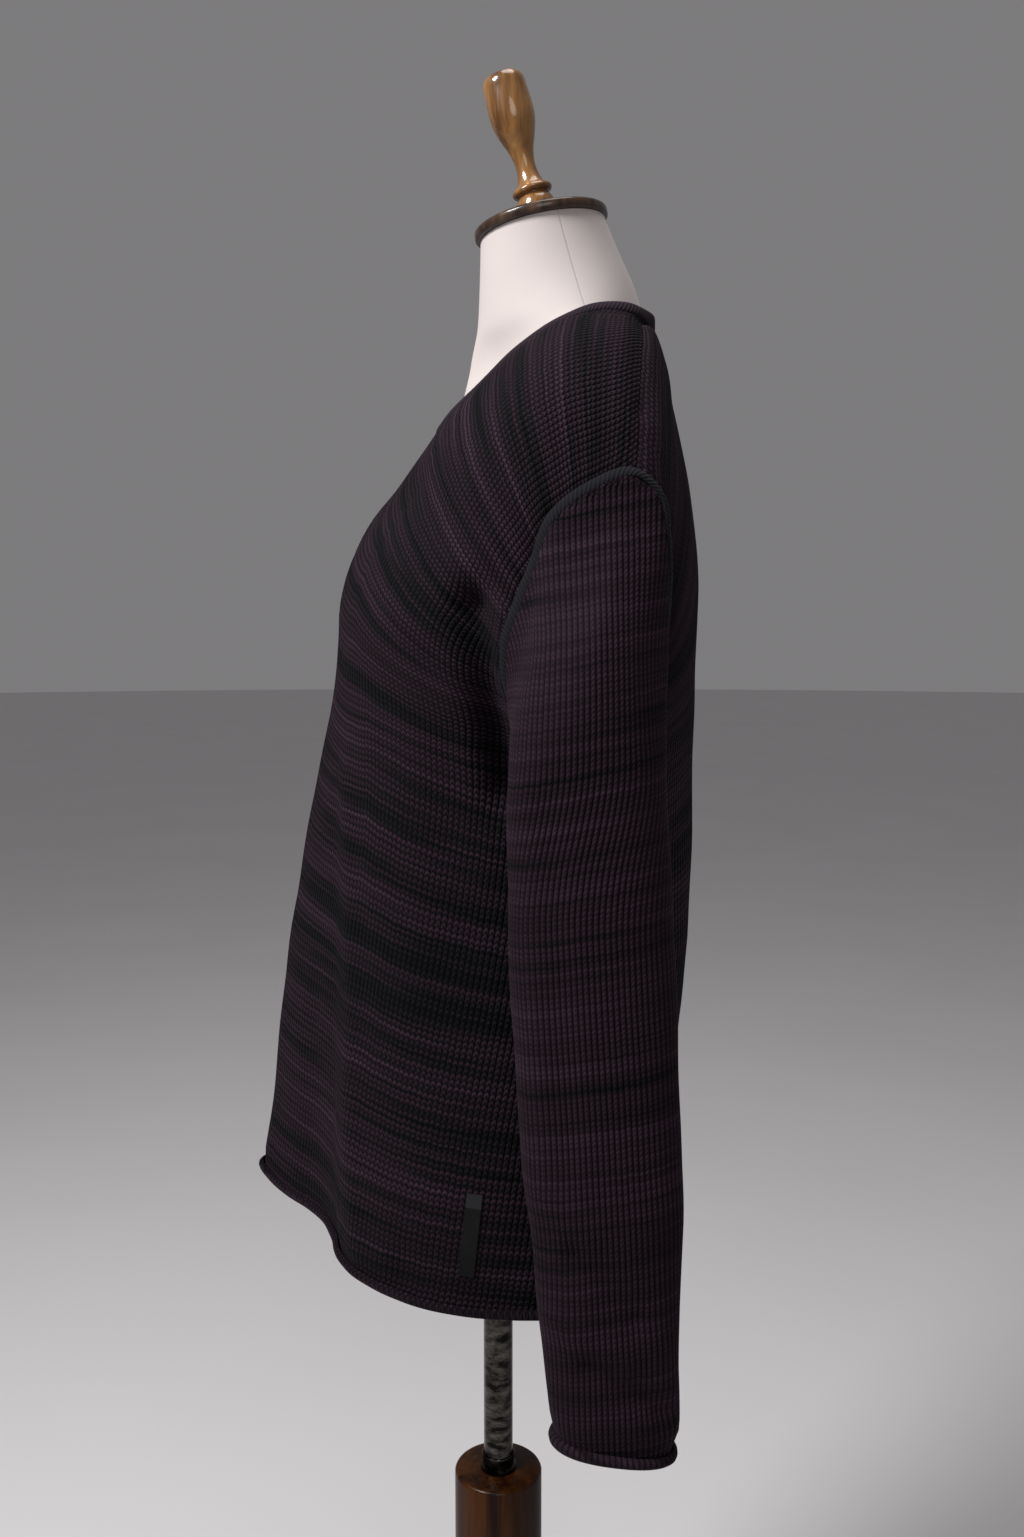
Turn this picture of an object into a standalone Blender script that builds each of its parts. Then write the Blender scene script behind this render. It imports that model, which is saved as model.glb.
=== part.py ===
"""An oversized fine-rib sweater on a limbless dress form with a pole, a post and a round base.

Metres, +Z up. The sweater's front faces -Y and the wearer's left is +X. The origin is the
middle of the base's flat underside, on the axis of the pole.
"""
import math
from collections import namedtuple

import bmesh
import bpy
import numpy as np
from mathutils import Vector
from mathutils.bvhtree import BVHTree

MM = 0.001
MERGE_DISTANCE = 0.01 * MM

# Cloth
CLOTH = 2.0 * MM                # thickness of the knit
SEAM_GAP = 0.2 * MM             # each panel stays this far from a seam's own line
ROLL_HOLE = 2.3 * MM            # radius of the hole inside a rolled edge
ROLL_TURN = math.radians(260)   # how far an edge rolls round, outwards and up
ROLL_STEPS = 4
TRIM_RADIUS = 3.2 * MM          # the rolled neck trim
BAND_RADIUS = 2.5 * MM          # the raised linking band round an armhole
EDGE_GAP = 1.3 * MM             # from a cloth edge to the trim or band that it is linked to

# Grid of the cloth pieces
PANEL_COLUMNS = 13
LOWER_ROWS = 11
CENTRE_ROWS = 8
NECK_ROWS = 10
BACK_CENTRE_ROWS = 10
BACK_NECK_ROWS = 5
SLEEVE_COLUMNS = 30
SLEEVE_ROWS = 15
TRIM_POINTS = 56
BAND_POINTS = 60
LABEL_GAP = 0.4 * MM
LABEL_THICKNESS = 0.8 * MM

# Stand
BASE_RADIUS = 190 * MM
BASE_THICKNESS = 25 * MM
BASE_EDGE = 5 * MM
EDGE_BREAK = 1 * MM             # small chamfer on the base's foot and the pole's top
POST_RADIUS = 38 * MM
POST_TOP = 500 * MM
POST_CHAMFER = 2.5 * MM
BORE_BOTTOM = 100 * MM
POLE_RADIUS = 12.7 * MM
POLE_BOTTOM = 220 * MM
POLE_TOP = 970 * MM
RUNNING_GAP = 0.3 * MM
COLLAR_RADIUS = 13.9 * MM
COLLAR_LIP_RADIUS = 15.6 * MM
COLLAR_LIP_HEIGHT = 3.5 * MM
COLLAR_HEIGHT = 14 * MM

# Neck cap and finial; the finial leans forward a little more than the cap
CAP_LEAN = math.radians(10.5)
FINIAL_LEAN = math.radians(15.5)
CAP_RADIUS = 54 * MM
CAP_THICKNESS = 8 * MM
CAP_EDGE = 1.5 * MM
TOUCH_GAP = 0.3 * MM
FORM_CLEARANCE = 0.6 * MM       # from the cloth down to the form that carries it
FORM_SIDES = 32
WIDE_STEPS = 40                 # sides of the cap, the post and the base
TUBE_STEPS = 32                 # sides of the pole and its collar
FINIAL_STEPS = 20

# Half sections of the body from the hem up to the underarm, in millimetres.
# The prow stands out at the front, the ridge is the soft fold that falls from the bust.
BodyRow = namedtuple(
    "BodyRow",
    "front_z side_z back_z front_y prow_x prow_y cheek_x cheek_y ridge_x ridge_y "
    "flank_x flank_y seam_x seam_y hip_x hip_y rear_x rear_y back_y",
)
BODY_ROWS = (
    BodyRow(778, 752, 756, -202, 38, -180, 84, -139, 163, -107, 199, -62, 211, 35, 197, 90, 130, 128, 138),
    BodyRow(815, 795, 797, -195, 38, -174, 84, -139, 160, -108, 196, -62, 208, 35, 194, 90, 128, 129, 139),
    BodyRow(900, 885, 885, -185, 38, -168, 82, -136, 145, -110, 186, -63, 200, 36, 187, 91, 124, 131, 141),
    BodyRow(1000, 985, 985, -171, 36, -158, 76, -134, 122, -113, 170, -67, 190, 37, 179, 93, 122, 138, 148),
    BodyRow(1105, 1085, 1085, -151, 33, -143, 66, -130, 104, -115, 160, -69, 184, 39, 174, 96, 120, 140, 151),
    BodyRow(1190, 1157, 1160, -133, 32, -130, 62, -126, 94, -116, 156, -67, 188, 45, 176, 99, 119, 140, 152),
)

# Middle lines above the underarm, then the neckline, as x, y, z in millimetres.
Place = namedtuple("Place", "x y z")
FRONT_CENTRE = (
    Place(0, -133, 1190), Place(0, -125, 1235), Place(0, -122, 1275),
    Place(0, -108, 1313), Place(0, -77, 1351),
)
BACK_CENTRE = (
    Place(0, 152, 1160), Place(0, 152, 1209), Place(0, 150, 1253),
    Place(0, 148, 1327), Place(0, 144, 1370), Place(0, 136, 1414),
)
FRONT_NECKLINE = (
    Place(0, -47, 1394), Place(35, -35, 1402), Place(60, -13, 1418), Place(80, 18, 1443),
    Place(87, 48, 1461), Place(86, 77, 1471), Place(78, 102, 1471), Place(60, 117, 1467),
)
BACK_NECKLINE = (Place(60, 117, 1467), Place(32, 122, 1464), Place(0, 124, 1462))
FRONT_FULLNESS = -5 * MM        # how far the upper panels stand out beyond an even blend of their borders
BACK_FULLNESS = -9 * MM

# The shoulder seam lies behind the shoulder and falls over it to the armhole.
SHOULDER_SEAM = (Place(108, 114, 1457), Place(155, 109, 1436), Place(188, 103, 1400), Place(204, 99, 1369))

# The armhole from the underarm up the front, over the top and down the back.
FRONT_ARMHOLE = (
    Place(190, 45, 1160), Place(193, 13, 1186), Place(198, 8, 1222), Place(204, 17, 1250),
    Place(208, 28, 1278), Place(212, 37, 1303), Place(214, 64, 1325), Place(213, 95, 1334),
)
BACK_ARMHOLE = (
    Place(213, 95, 1334), Place(211, 110, 1321), Place(208, 116, 1290), Place(203, 117, 1250),
    Place(197, 110, 1205), Place(193, 86, 1172), Place(190, 45, 1160),
)

# Sleeve sections on the +X side, in millimetres: its edges towards front, back, body and outside.
SleeveRow = namedtuple("SleeveRow", "z front back inner outer")
SLEEVE_SECTIONS = (
    SleeveRow(1340, 9, 106, 200, 240),
    SleeveRow(1220, 9, 111, 197, 260),
    SleeveRow(1100, 9, 115, 197, 264),
    SleeveRow(1000, 11, 120, 201, 267),
    SleeveRow(870, 20, 126, 212, 271),
    SleeveRow(760, 32, 124, 224, 276),
    SleeveRow(700, 39, 123, 227, 274),
    SleeveRow(660, 44, 120, 228, 271),
)
SLEEVE_ROUNDNESS = 2.4
CUFF_FRONT_Z = 688 * MM
CUFF_BACK_Z = 677 * MM
SLEEVE_SET = 0.24               # share of the length over which the sleeve leaves the armhole's shape

# Rings of the dress form, in millimetres; slope is the rise of the ring's plane towards the back.
FormRing = namedtuple("FormRing", "z middle_y half_width front_y back_y roundness slope")
FORM_RINGS = (
    FormRing(862, 24, 146, -62, 112, 2.3, 0),
    FormRing(868, 24, 156, -72, 122, 2.3, 0),
    FormRing(930, 26, 166, -82, 133, 2.3, 0),
    FormRing(1000, 26, 158, -76, 131, 2.3, 0),
    FormRing(1080, 26, 131, -62, 113, 2.2, 0),
    FormRing(1150, 24, 140, -80, 124, 2.2, 0),
    FormRing(1210, 22, 158, -107, 139, 2.3, 0),
    FormRing(1250, 24, 170, -116, 146, 2.3, 0),
    FormRing(1290, 36, 180, -106, 146, 2.0, 0),
    FormRing(1330, 50, 190, -82, 145, 1.9, 0),
    FormRing(1365, 62, 194, -58, 140, 1.9, 0),
    FormRing(1395, 70, 186, -37, 134, 1.4, 0),
    FormRing(1417, 74, 168, -29, 130, 1.15, 0),
    FormRing(1437, 74, 132, -23.5, 126, 1.05, 0),
    FormRing(1454, 70, 92, -20.5, 121, 1.25, 0),
    FormRing(1465, 62, 74, -18, 119, 1.6, 0.02),
    FormRing(1476, 54, 66, -16, 118, 1.8, 0.06),
    FormRing(1496, 46, 57, -15, 112, 1.9, 0.12),
    FormRing(1522, 39, 51.5, -14, 98, 2.0, 0.15),
    FormRing(1550, 36, 50, -13.5, 86.5, 2.0, 0.185),
)

# Turned outline of the finial: height along its axis and radius, in millimetres. Its ball
# reaches below the cap's top face, where it is cut flat.
Turned = namedtuple("Turned", "height radius")
FINIAL_OUTLINE = (
    Turned(-3, 9.0), Turned(2, 13.6), Turned(9, 16.0), Turned(16, 14.4), Turned(20, 12.4),
    Turned(21.2, 15.2), Turned(23.4, 16.3), Turned(25.6, 15.2), Turned(27, 12.4),
    Turned(33, 9.4), Turned(44, 8.0), Turned(54, 9.6), Turned(66, 14.0),
    Turned(79, 17.7), Turned(90, 18.1), Turned(102, 17.4), Turned(110, 16.6),
    Turned(113.5, 14.4), Turned(115, 10.0),
)

# Side label: its top end on the front panel, its size and its lean.
LABEL_TOP = Place(200, -14, 838)
LABEL_WIDTH = 11 * MM
LABEL_LENGTH = 60 * MM
LABEL_LEAN = math.radians(6)


def clear_scene():
    for item in list(bpy.data.objects):
        bpy.data.objects.remove(item, do_unlink=True)


def new_material(name, colour, roughness, metallic=0.0):
    material = bpy.data.materials.new(name)
    material.use_nodes = True
    shader = material.node_tree.nodes["Principled BSDF"]
    shader.inputs["Base Color"].default_value = (*colour, 1)
    shader.inputs["Roughness"].default_value = roughness
    shader.inputs["Metallic"].default_value = metallic
    material.diffuse_color = (*colour, 1)
    return material


def metres(places):
    return np.array(places, float) * MM


# Curves and grids

def evenly(points, count):
    """Points spaced evenly along a polyline."""
    steps = np.linalg.norm(np.diff(points, axis=0), axis=1)
    travelled = np.concatenate(([0], np.cumsum(steps)))
    wanted = np.linspace(0, travelled[-1], count)
    return np.stack([np.interp(wanted, travelled, points[:, axis]) for axis in range(3)], axis=1)


def smooth_curve(points, before=None, after=None, fineness=12):
    """A smooth curve through points, with each span cut in steps; it passes every point."""
    points = np.asarray(points, float)
    before = 2 * points[0] - points[1] if before is None else before
    after = 2 * points[-1] - points[-2] if after is None else after
    knots = np.vstack((before, points, after))
    spans = np.linalg.norm(np.diff(knots, axis=0), axis=1)[:, None]
    speeds = np.diff(knots, axis=0) / spans
    tangents = (speeds[:-1] * spans[1:] + speeds[1:] * spans[:-1]) / (spans[:-1] + spans[1:])
    fine = []
    for index in range(len(points) - 1):
        span = spans[index + 1]
        for step in range(fineness):
            t = step / fineness
            fine.append(
                (2 * t**3 - 3 * t**2 + 1) * points[index]
                + (t**3 - 2 * t**2 + t) * span * tangents[index]
                + (3 * t**2 - 2 * t**3) * points[index + 1]
                + (t**3 - t**2) * span * tangents[index + 1]
            )
    fine.append(points[-1])
    return np.array(fine)


def mirrored(point):
    return point * np.array((-1, 1, 1))


def coons_patch(bottom, top, inner, outer):
    """A grid that fills four border curves: rows run from inner to outer, bottom to top."""
    across = np.linspace(0, 1, len(bottom))[None, :, None]
    up = np.linspace(0, 1, len(inner))[:, None, None]
    between_rows = (1 - up) * bottom[None] + up * top[None]
    between_columns = (1 - across) * inner[:, None] + across * outer[:, None]
    corners = (
        (1 - up) * ((1 - across) * bottom[0] + across * bottom[-1])
        + up * ((1 - across) * top[0] + across * top[-1])
    )
    return between_rows + between_columns - corners


def relax(grid, rows, passes=3):
    """Soften the given rows up and down, but leave the two side borders."""
    for _ in range(passes):
        for row in rows:
            grid[row, 1:-1] = (grid[row - 1, 1:-1] + 2 * grid[row, 1:-1] + grid[row + 1, 1:-1]) / 4
    return grid


# Borders of the panels

def armhole_loop():
    """The closed middle line of an armhole band: up the front, then down the back."""
    front = smooth_curve(metres(FRONT_ARMHOLE), after=metres(BACK_ARMHOLE)[1])
    back = smooth_curve(metres(BACK_ARMHOLE), before=metres(FRONT_ARMHOLE)[-2])
    return front, back


def square_to(line, directions):
    """Directions with their part along the line taken out, at unit length."""
    along = np.gradient(line, axis=0)
    along /= np.linalg.norm(along, axis=1)[:, None]
    square = directions - (directions * along).sum(axis=1)[:, None] * along
    return square / np.linalg.norm(square, axis=1)[:, None]


def body_lines():
    """Rows of the lower body, each from the front middle to the side seam and on to the back."""
    controls = []
    for row in BODY_ROWS:
        front_heights = np.linspace(row.front_z, row.side_z, 6)
        back_heights = np.linspace(row.side_z, row.back_z, 4)
        controls.append((
            (0, row.front_y, front_heights[0]),
            (row.prow_x, row.prow_y, front_heights[1]),
            (row.cheek_x, row.cheek_y, front_heights[2]),
            (row.ridge_x, row.ridge_y, front_heights[3]),
            (row.flank_x, row.flank_y, front_heights[4]),
            (row.seam_x, row.seam_y, row.side_z),
            (row.hip_x, row.hip_y, back_heights[1]),
            (row.rear_x, row.rear_y, back_heights[2]),
            (0, row.back_y, row.back_z),
        ))
    controls = metres(controls)
    columns = [evenly(smooth_curve(controls[:, index]), LOWER_ROWS) for index in range(9)]
    return np.stack(columns, axis=1)


def lower_halves():
    """Lower grids of the front and back half panels, each from its middle line to the side seam."""
    fineness = 12
    seam_index = 5 * fineness
    front, back = [], []
    for line in body_lines():
        fine = smooth_curve(line, mirrored(line[1]), mirrored(line[-2]), fineness)
        front.append(evenly(fine[: seam_index + 1], PANEL_COLUMNS))
        back.append(evenly(fine[seam_index:], PANEL_COLUMNS)[::-1])
    return np.array(front), np.array(back)


def yoke(bottom, middle, neck, armhole, fullness):
    """Upper grid of a half panel between its middle line, neckline, armhole and shoulder seam."""
    inner = np.vstack((middle, neck[1:]))
    shoulder = np.vstack((inner[-1], metres(SHOULDER_SEAM), armhole[-1]))
    top = evenly(smooth_curve(shoulder), len(bottom))
    bottom = bottom + np.linspace(0, 1, len(bottom))[:, None] * (armhole[0] - bottom[-1])
    grid = coons_patch(bottom, top, inner, armhole)
    across = np.linspace(0, math.pi, grid.shape[1])[None, :]
    up = np.linspace(0, math.pi, grid.shape[0])[:, None]
    grid[:, :, 1] += fullness * np.sin(across) * np.sin(up)
    return grid


def half_panel(lower, centre, neckline, armhole, centre_rows, neck_rows, fullness):
    """A half panel whose edges stand off the neck trim and the armhole band."""
    neck = evenly(smooth_curve(metres(neckline)), neck_rows + 1)
    middle = evenly(smooth_curve(np.vstack((lower[-1, 0], metres(centre)[1:], neck[0]))), centre_rows + 1)
    armhole = evenly(armhole, centre_rows + neck_rows + 1)
    first = len(lower) - 1
    draft = np.vstack((lower[:-1], yoke(lower[-1], middle, neck, armhole, fullness)))
    inwards = draft[first - 3: -3, -4] - armhole
    armhole = armhole + square_to(armhole, inwards) * (BAND_RADIUS + EDGE_GAP)
    outwards = draft[first + centre_rows - 2: -2, 3] - neck
    neck = neck + square_to(neck, outwards) * (TRIM_RADIUS + EDGE_GAP)
    neck[0, 0] = 0
    middle = evenly(smooth_curve(np.vstack((middle[:-1], neck[0]))), centre_rows + 1)
    grid = np.vstack((lower[:-1], yoke(lower[-1], middle, neck, armhole, fullness)))
    return relax(grid, range(LOWER_ROWS - 3, LOWER_ROWS + 2))


def half_panels():
    """The front and back half panels, softened together over the shoulder seam."""
    front_lower, back_lower = lower_halves()
    front_armhole, back_armhole = armhole_loop()
    front = half_panel(
        front_lower, FRONT_CENTRE, FRONT_NECKLINE, front_armhole, CENTRE_ROWS, NECK_ROWS, FRONT_FULLNESS,
    )
    back = half_panel(
        back_lower, BACK_CENTRE, BACK_NECKLINE[::-1], back_armhole[::-1],
        BACK_CENTRE_ROWS, BACK_NECK_ROWS, BACK_FULLNESS,
    )
    both = np.vstack((front, back[::-1][1:]))
    seam = len(front) - 1
    both = relax(both, range(seam - 2, seam + 3), passes=2)
    return both[: seam + 1], both[seam:][::-1]


# Walls

def surface_normals(grid, before=None, after=None, above=None):
    """Unit normals of a grid; the lines given lie past its borders, across a seam or fold."""
    along = np.gradient(grid, axis=1)
    up = np.gradient(grid, axis=0)
    if before is not None:
        along[:, 0] = (grid[:, 1] - before) / 2
    if after is not None:
        rows = len(after)
        along[:rows, -1] = (after - grid[:rows, -2]) / 2
    if above is not None:
        up[-1] = (above - grid[-2]) / 2
    normals = np.cross(along, up)
    return normals / np.linalg.norm(normals, axis=2)[:, :, None]


def rolled_edge(edge, above, out):
    """Rows that carry a cloth edge round in an outward roll; above is the row over the edge."""
    down = edge - above
    down -= (down * out).sum(axis=1)[:, None] * out
    down /= np.linalg.norm(down, axis=1)[:, None]
    rows = []
    for step in range(1, ROLL_STEPS + 1):
        turn = ROLL_TURN * step / ROLL_STEPS
        rows.append(edge + out * ROLL_HOLE * (1 - math.cos(turn)) + down * ROLL_HOLE * math.sin(turn))
    return np.array(rows[::-1])


def wall_mesh(name, outer, inner, closed=False, open_rows=0):
    """A closed wall from its outer and inner grids; below open_rows its first column stays open."""
    row_count, column_count = outer.shape[:2]
    bm = bmesh.new()
    outside = [[bm.verts.new(point) for point in row] for row in outer]
    inside = [[bm.verts.new(point) for point in row] for row in inner]
    spans = column_count if closed else column_count - 1
    for row in range(row_count - 1):
        for column in range(spans):
            beside = (column + 1) % column_count
            low, high = outside[row], outside[row + 1]
            bm.faces.new((low[column], low[beside], high[beside], high[column]))
            low, high = inside[row], inside[row + 1]
            bm.faces.new((low[beside], low[column], high[column], high[beside]))
    for column in range(spans):
        beside = (column + 1) % column_count
        bm.faces.new((inside[0][column], inside[0][beside], outside[0][beside], outside[0][column]))
        bm.faces.new((outside[-1][column], outside[-1][beside], inside[-1][beside], inside[-1][column]))
    if not closed:
        for row in range(row_count - 1):
            bm.faces.new((outside[row][-1], inside[row][-1], inside[row + 1][-1], outside[row + 1][-1]))
            if row >= open_rows:
                bm.faces.new((inside[row][0], outside[row][0], outside[row + 1][0], inside[row + 1][0]))
    mesh = bpy.data.meshes.new(name)
    bm.to_mesh(mesh)
    bm.free()
    return mesh


def add_object(name, mesh, material, collection):
    item = bpy.data.objects.new(name, mesh)
    item.data.materials.append(material)
    collection.objects.link(item)
    return item


def shade_round(item, angle=40):
    item.data.shade_smooth()
    item.data.set_sharp_from_angle(angle=math.radians(angle))


def panel_grids(half, other, centre_rows):
    """Outer and inner grids of a half panel; other is the panel that it is sewn to."""
    normals = surface_normals(
        half, before=mirrored(half[:, 1]), after=other[: LOWER_ROWS - 1, -2], above=other[-2],
    )
    sided = surface_normals(half, after=other[: LOWER_ROWS - 1, -2], above=other[-2])
    neck_row = LOWER_ROWS - 1 + centre_rows
    normals[neck_row + 1:, 0] = sided[neck_row + 1:, 0]
    outer = half.copy()
    side, beside = half[:LOWER_ROWS, -1], half[:LOWER_ROWS, -2]
    outer[:LOWER_ROWS, -1] += SEAM_GAP * square_to(side, beside - side)
    outer[-1] += SEAM_GAP * square_to(half[-1], half[-2] - half[-1])
    inner = outer - normals * CLOTH
    level = normals[0] * np.array((1, 1, 0))
    level /= np.linalg.norm(level, axis=1)[:, None]
    roll = rolled_edge(outer[0], outer[1], level)
    whole = np.vstack((roll, outer))
    roll_normals = surface_normals(whole)[: ROLL_STEPS]
    roll_normals[:, 0, 0] = 0
    inner = np.vstack((roll - roll_normals * CLOTH, inner))
    for grid in (whole, inner):
        grid[: ROLL_STEPS + neck_row + 1, 0, 0] = 0
    return whole, inner, ROLL_STEPS + neck_row


def build_panel(name, half, other, centre_rows, material, collection):
    """A front or back panel: one half of its wall, mirrored at the middle line."""
    outer, inner, open_rows = panel_grids(half, other, centre_rows)
    item = add_object(name, wall_mesh(name, outer, inner, open_rows=open_rows), material, collection)
    mirror = item.modifiers.new("Other half", "MIRROR")
    mirror.merge_threshold = MERGE_DISTANCE
    shade_round(item)
    return item


# Sleeves

def sleeve_section(height):
    """The sleeve's outline in plan at one height: from the body side round the front."""
    heights = [row.z * MM for row in reversed(SLEEVE_SECTIONS)]
    edges = {}
    for side in ("front", "back", "inner", "outer"):
        values = [getattr(row, side) * MM for row in reversed(SLEEVE_SECTIONS)]
        edges[side] = np.interp(height, heights, values)
    middle_x = (edges["inner"] + edges["outer"]) / 2
    middle_y = (edges["front"] + edges["back"]) / 2
    half_x = (edges["outer"] - edges["inner"]) / 2
    half_y = (edges["back"] - edges["front"]) / 2
    angles = np.linspace(math.pi, 3 * math.pi, 121)
    power = 2 / SLEEVE_ROUNDNESS
    x = middle_x + half_x * np.sign(np.cos(angles)) * np.abs(np.cos(angles)) ** power
    y = middle_y + half_y * np.sign(np.sin(angles)) * np.abs(np.sin(angles)) ** power
    outline = np.stack((x, y, np.full(len(x), height)), axis=1)
    return evenly(outline, SLEEVE_COLUMNS + 1)[:-1]


def hung_sleeve(loop):
    """Rings of the left sleeve from its cuff up to a line beside the armhole band."""
    cuff = sleeve_section(CUFF_BACK_Z)
    back_share = (cuff[:, 1] - cuff[:, 1].min()) / np.ptp(cuff[:, 1])
    cuff_heights = CUFF_FRONT_Z + (CUFF_BACK_Z - CUFF_FRONT_Z) * back_share
    rings = []
    for share in np.linspace(1, 0, SLEEVE_ROWS) ** 1.15:
        heights = loop[:, 2] + (cuff_heights - loop[:, 2]) * share
        hang = min(1, share / SLEEVE_SET)
        hang = hang * hang * (3 - 2 * hang)
        sections = np.array([sleeve_section(height)[column] for column, height in enumerate(heights)])
        ring = loop + (sections - loop) * hang
        ring[:, 2] = heights
        rings.append(ring)
    return np.array(rings)


def sleeve_grid():
    band = evenly(np.vstack(armhole_loop()), SLEEVE_COLUMNS + 1)
    draft = hung_sleeve(band[:-1])
    hanging = np.vstack((draft[-3], draft[-3][:1])) - band
    hanging = square_to(band, hanging) + np.array((1, 0, 0))
    start = band + square_to(band, hanging) * (BAND_RADIUS + EDGE_GAP)
    return hung_sleeve(start[:-1])


def ring_normals(grid):
    """Outward normals of a grid whose columns close into rings."""
    padded = np.concatenate((grid[:, -1:], grid, grid[:, :1]), axis=1)
    return surface_normals(padded)[:, 1:-1]


def build_sleeve(name, side, material, collection):
    grid = sleeve_grid()
    level = ring_normals(grid)[0] * np.array((1, 1, 0))
    level /= np.linalg.norm(level, axis=1)[:, None]
    outer = np.vstack((rolled_edge(grid[0], grid[1], level), grid))
    inner = outer - ring_normals(outer) * CLOTH
    if side < 0:
        outer, inner = mirrored(outer[:, ::-1]), mirrored(inner[:, ::-1])
    item = add_object(name, wall_mesh(name, outer, inner, closed=True), material, collection)
    shade_round(item)
    return item


# Trims

def build_cord(name, line, radius, material, collection):
    """A round closed strip along a line of points."""
    curve = bpy.data.curves.new(name, "CURVE")
    curve.dimensions = "3D"
    curve.bevel_depth = radius
    curve.bevel_resolution = 1
    curve.use_fill_caps = False
    spline = curve.splines.new("POLY")
    spline.points.add(len(line) - 1)
    for knot, point in zip(spline.points, line):
        knot.co = (*point, 1)
    spline.use_cyclic_u = True
    item = bpy.data.objects.new(name, curve)
    curve.materials.append(material)
    collection.objects.link(item)
    return item


def neck_line():
    half = np.vstack((
        smooth_curve(metres(FRONT_NECKLINE), after=metres(BACK_NECKLINE)[1])[:-1],
        smooth_curve(metres(BACK_NECKLINE), before=metres(FRONT_NECKLINE)[-2]),
    ))
    whole = np.vstack((half, mirrored(half[::-1][1:])))
    return evenly(whole, TRIM_POINTS + 1)[:-1]


def build_armhole_band(name, side, material, collection):
    line = evenly(np.vstack(armhole_loop()), BAND_POINTS + 1)[:-1]
    line[:, 0] *= side
    return build_cord(name, line, BAND_RADIUS, material, collection)


def build_label(front, material, collection):
    """A flat tape on the front panel's left side, made from that panel's own surface."""
    depsgraph = bpy.context.evaluated_depsgraph_get()
    surface = BVHTree.FromObject(front, depsgraph)
    top = Vector(metres(LABEL_TOP))
    down = Vector((0, -math.sin(LABEL_LEAN), -math.cos(LABEL_LEAN)))
    across = Vector((0, math.cos(LABEL_LEAN), -math.sin(LABEL_LEAN)))
    rows = []
    for drop in np.linspace(LABEL_LENGTH, 0, 7):
        row = []
        for shift in np.linspace(-LABEL_WIDTH / 2, LABEL_WIDTH / 2, 3):
            start = top + down * drop + across * shift + Vector((0.1, 0, 0))
            spot, normal, _, _ = surface.ray_cast(start, Vector((-1, 0, 0)))
            row.append(spot + normal * LABEL_GAP)
        rows.append(row)
    inner = np.array(rows)
    outer = inner + surface_normals(inner) * LABEL_THICKNESS
    return add_object("side_label", wall_mesh("side_label", outer, inner), material, collection)


# Dress form

def ring_points(ring):
    angles = np.linspace(0, 2 * math.pi, FORM_SIDES, endpoint=False)
    power = 2 / ring.roundness
    x = ring.half_width * np.sign(np.cos(angles)) * np.abs(np.cos(angles)) ** power
    reach = np.where(np.sin(angles) < 0, ring.middle_y - ring.front_y, ring.back_y - ring.middle_y)
    y = ring.middle_y + reach * np.sign(np.sin(angles)) * np.abs(np.sin(angles)) ** power
    z = ring.z + ring.slope * (y - 36)
    return np.stack((x, y, z), axis=1) * MM


def under_cloth(ring, points, cloth):
    """Ring points drawn in where the cloth lies closer than its clearance to the form."""
    drawn = []
    for point in points:
        middle = Vector((0, ring.middle_y * MM, point[2]))
        outward = Vector(point) - middle
        reach = outward.length
        outward.normalize()
        limit = reach
        for surface in cloth:
            spot, normal, _, distance = surface.ray_cast(middle, outward)
            if spot is not None:
                slant = max(0.2, abs(outward.dot(normal)))
                limit = min(limit, distance - FORM_CLEARANCE / slant)
        drawn.append(middle + outward * limit)
    return np.array(drawn)


def build_torso(cloth_items, material, collection):
    """The limbless form with a bored socket for the pole in its underside."""
    depsgraph = bpy.context.evaluated_depsgraph_get()
    cloth = [BVHTree.FromObject(item, depsgraph) for item in cloth_items]
    mesh = bpy.data.meshes.new("form_torso")
    bm = bmesh.new()
    angles = np.linspace(0, 2 * math.pi, FORM_SIDES, endpoint=False)
    bore = np.stack((np.cos(angles), np.sin(angles)), axis=1) * (POLE_RADIUS + RUNNING_GAP)
    socket_top = POLE_TOP + TOUCH_GAP
    bottom = FORM_RINGS[0].z * MM
    levels = [
        np.column_stack((bore, np.full(FORM_SIDES, socket_top))),
        np.column_stack((bore, np.full(FORM_SIDES, bottom))),
    ]
    levels += [under_cloth(ring, ring_points(ring), cloth) for ring in FORM_RINGS]
    loops = [[bm.verts.new(point) for point in level] for level in levels]
    for lower, upper in zip(loops, loops[1:]):
        for index in range(FORM_SIDES):
            beside = (index + 1) % FORM_SIDES
            bm.faces.new((lower[index], lower[beside], upper[beside], upper[index]))
    bm.faces.new(loops[0][::-1])
    bm.faces.new(loops[-1])
    bm.to_mesh(mesh)
    bm.free()
    item = add_object("form_torso", mesh, material, collection)
    shade_round(item)
    return item


def cap_axis():
    return Vector((0, -math.sin(CAP_LEAN), math.cos(CAP_LEAN)))


def above_neck(height):
    """The spot this far above the middle of the neck's slanted top face."""
    return Vector((0, 36 * MM, FORM_RINGS[-1].z * MM)) + cap_axis() * height


def build_cap(material, collection):
    mesh = bpy.data.meshes.new("neck_cap")
    bm = bmesh.new()
    bmesh.ops.create_cone(
        bm, cap_ends=True, segments=WIDE_STEPS, radius1=CAP_RADIUS, radius2=CAP_RADIUS, depth=CAP_THICKNESS,
    )
    bm.to_mesh(mesh)
    bm.free()
    item = add_object("neck_cap", mesh, material, collection)
    item.location = above_neck(TOUCH_GAP + CAP_THICKNESS / 2)
    item.rotation_euler = (CAP_LEAN, 0, 0)
    edge = item.modifiers.new("Rounded edge", "BEVEL")
    edge.width = CAP_EDGE
    edge.segments = 2
    edge.angle_limit = math.radians(40)
    shade_round(item)
    return item


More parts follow.
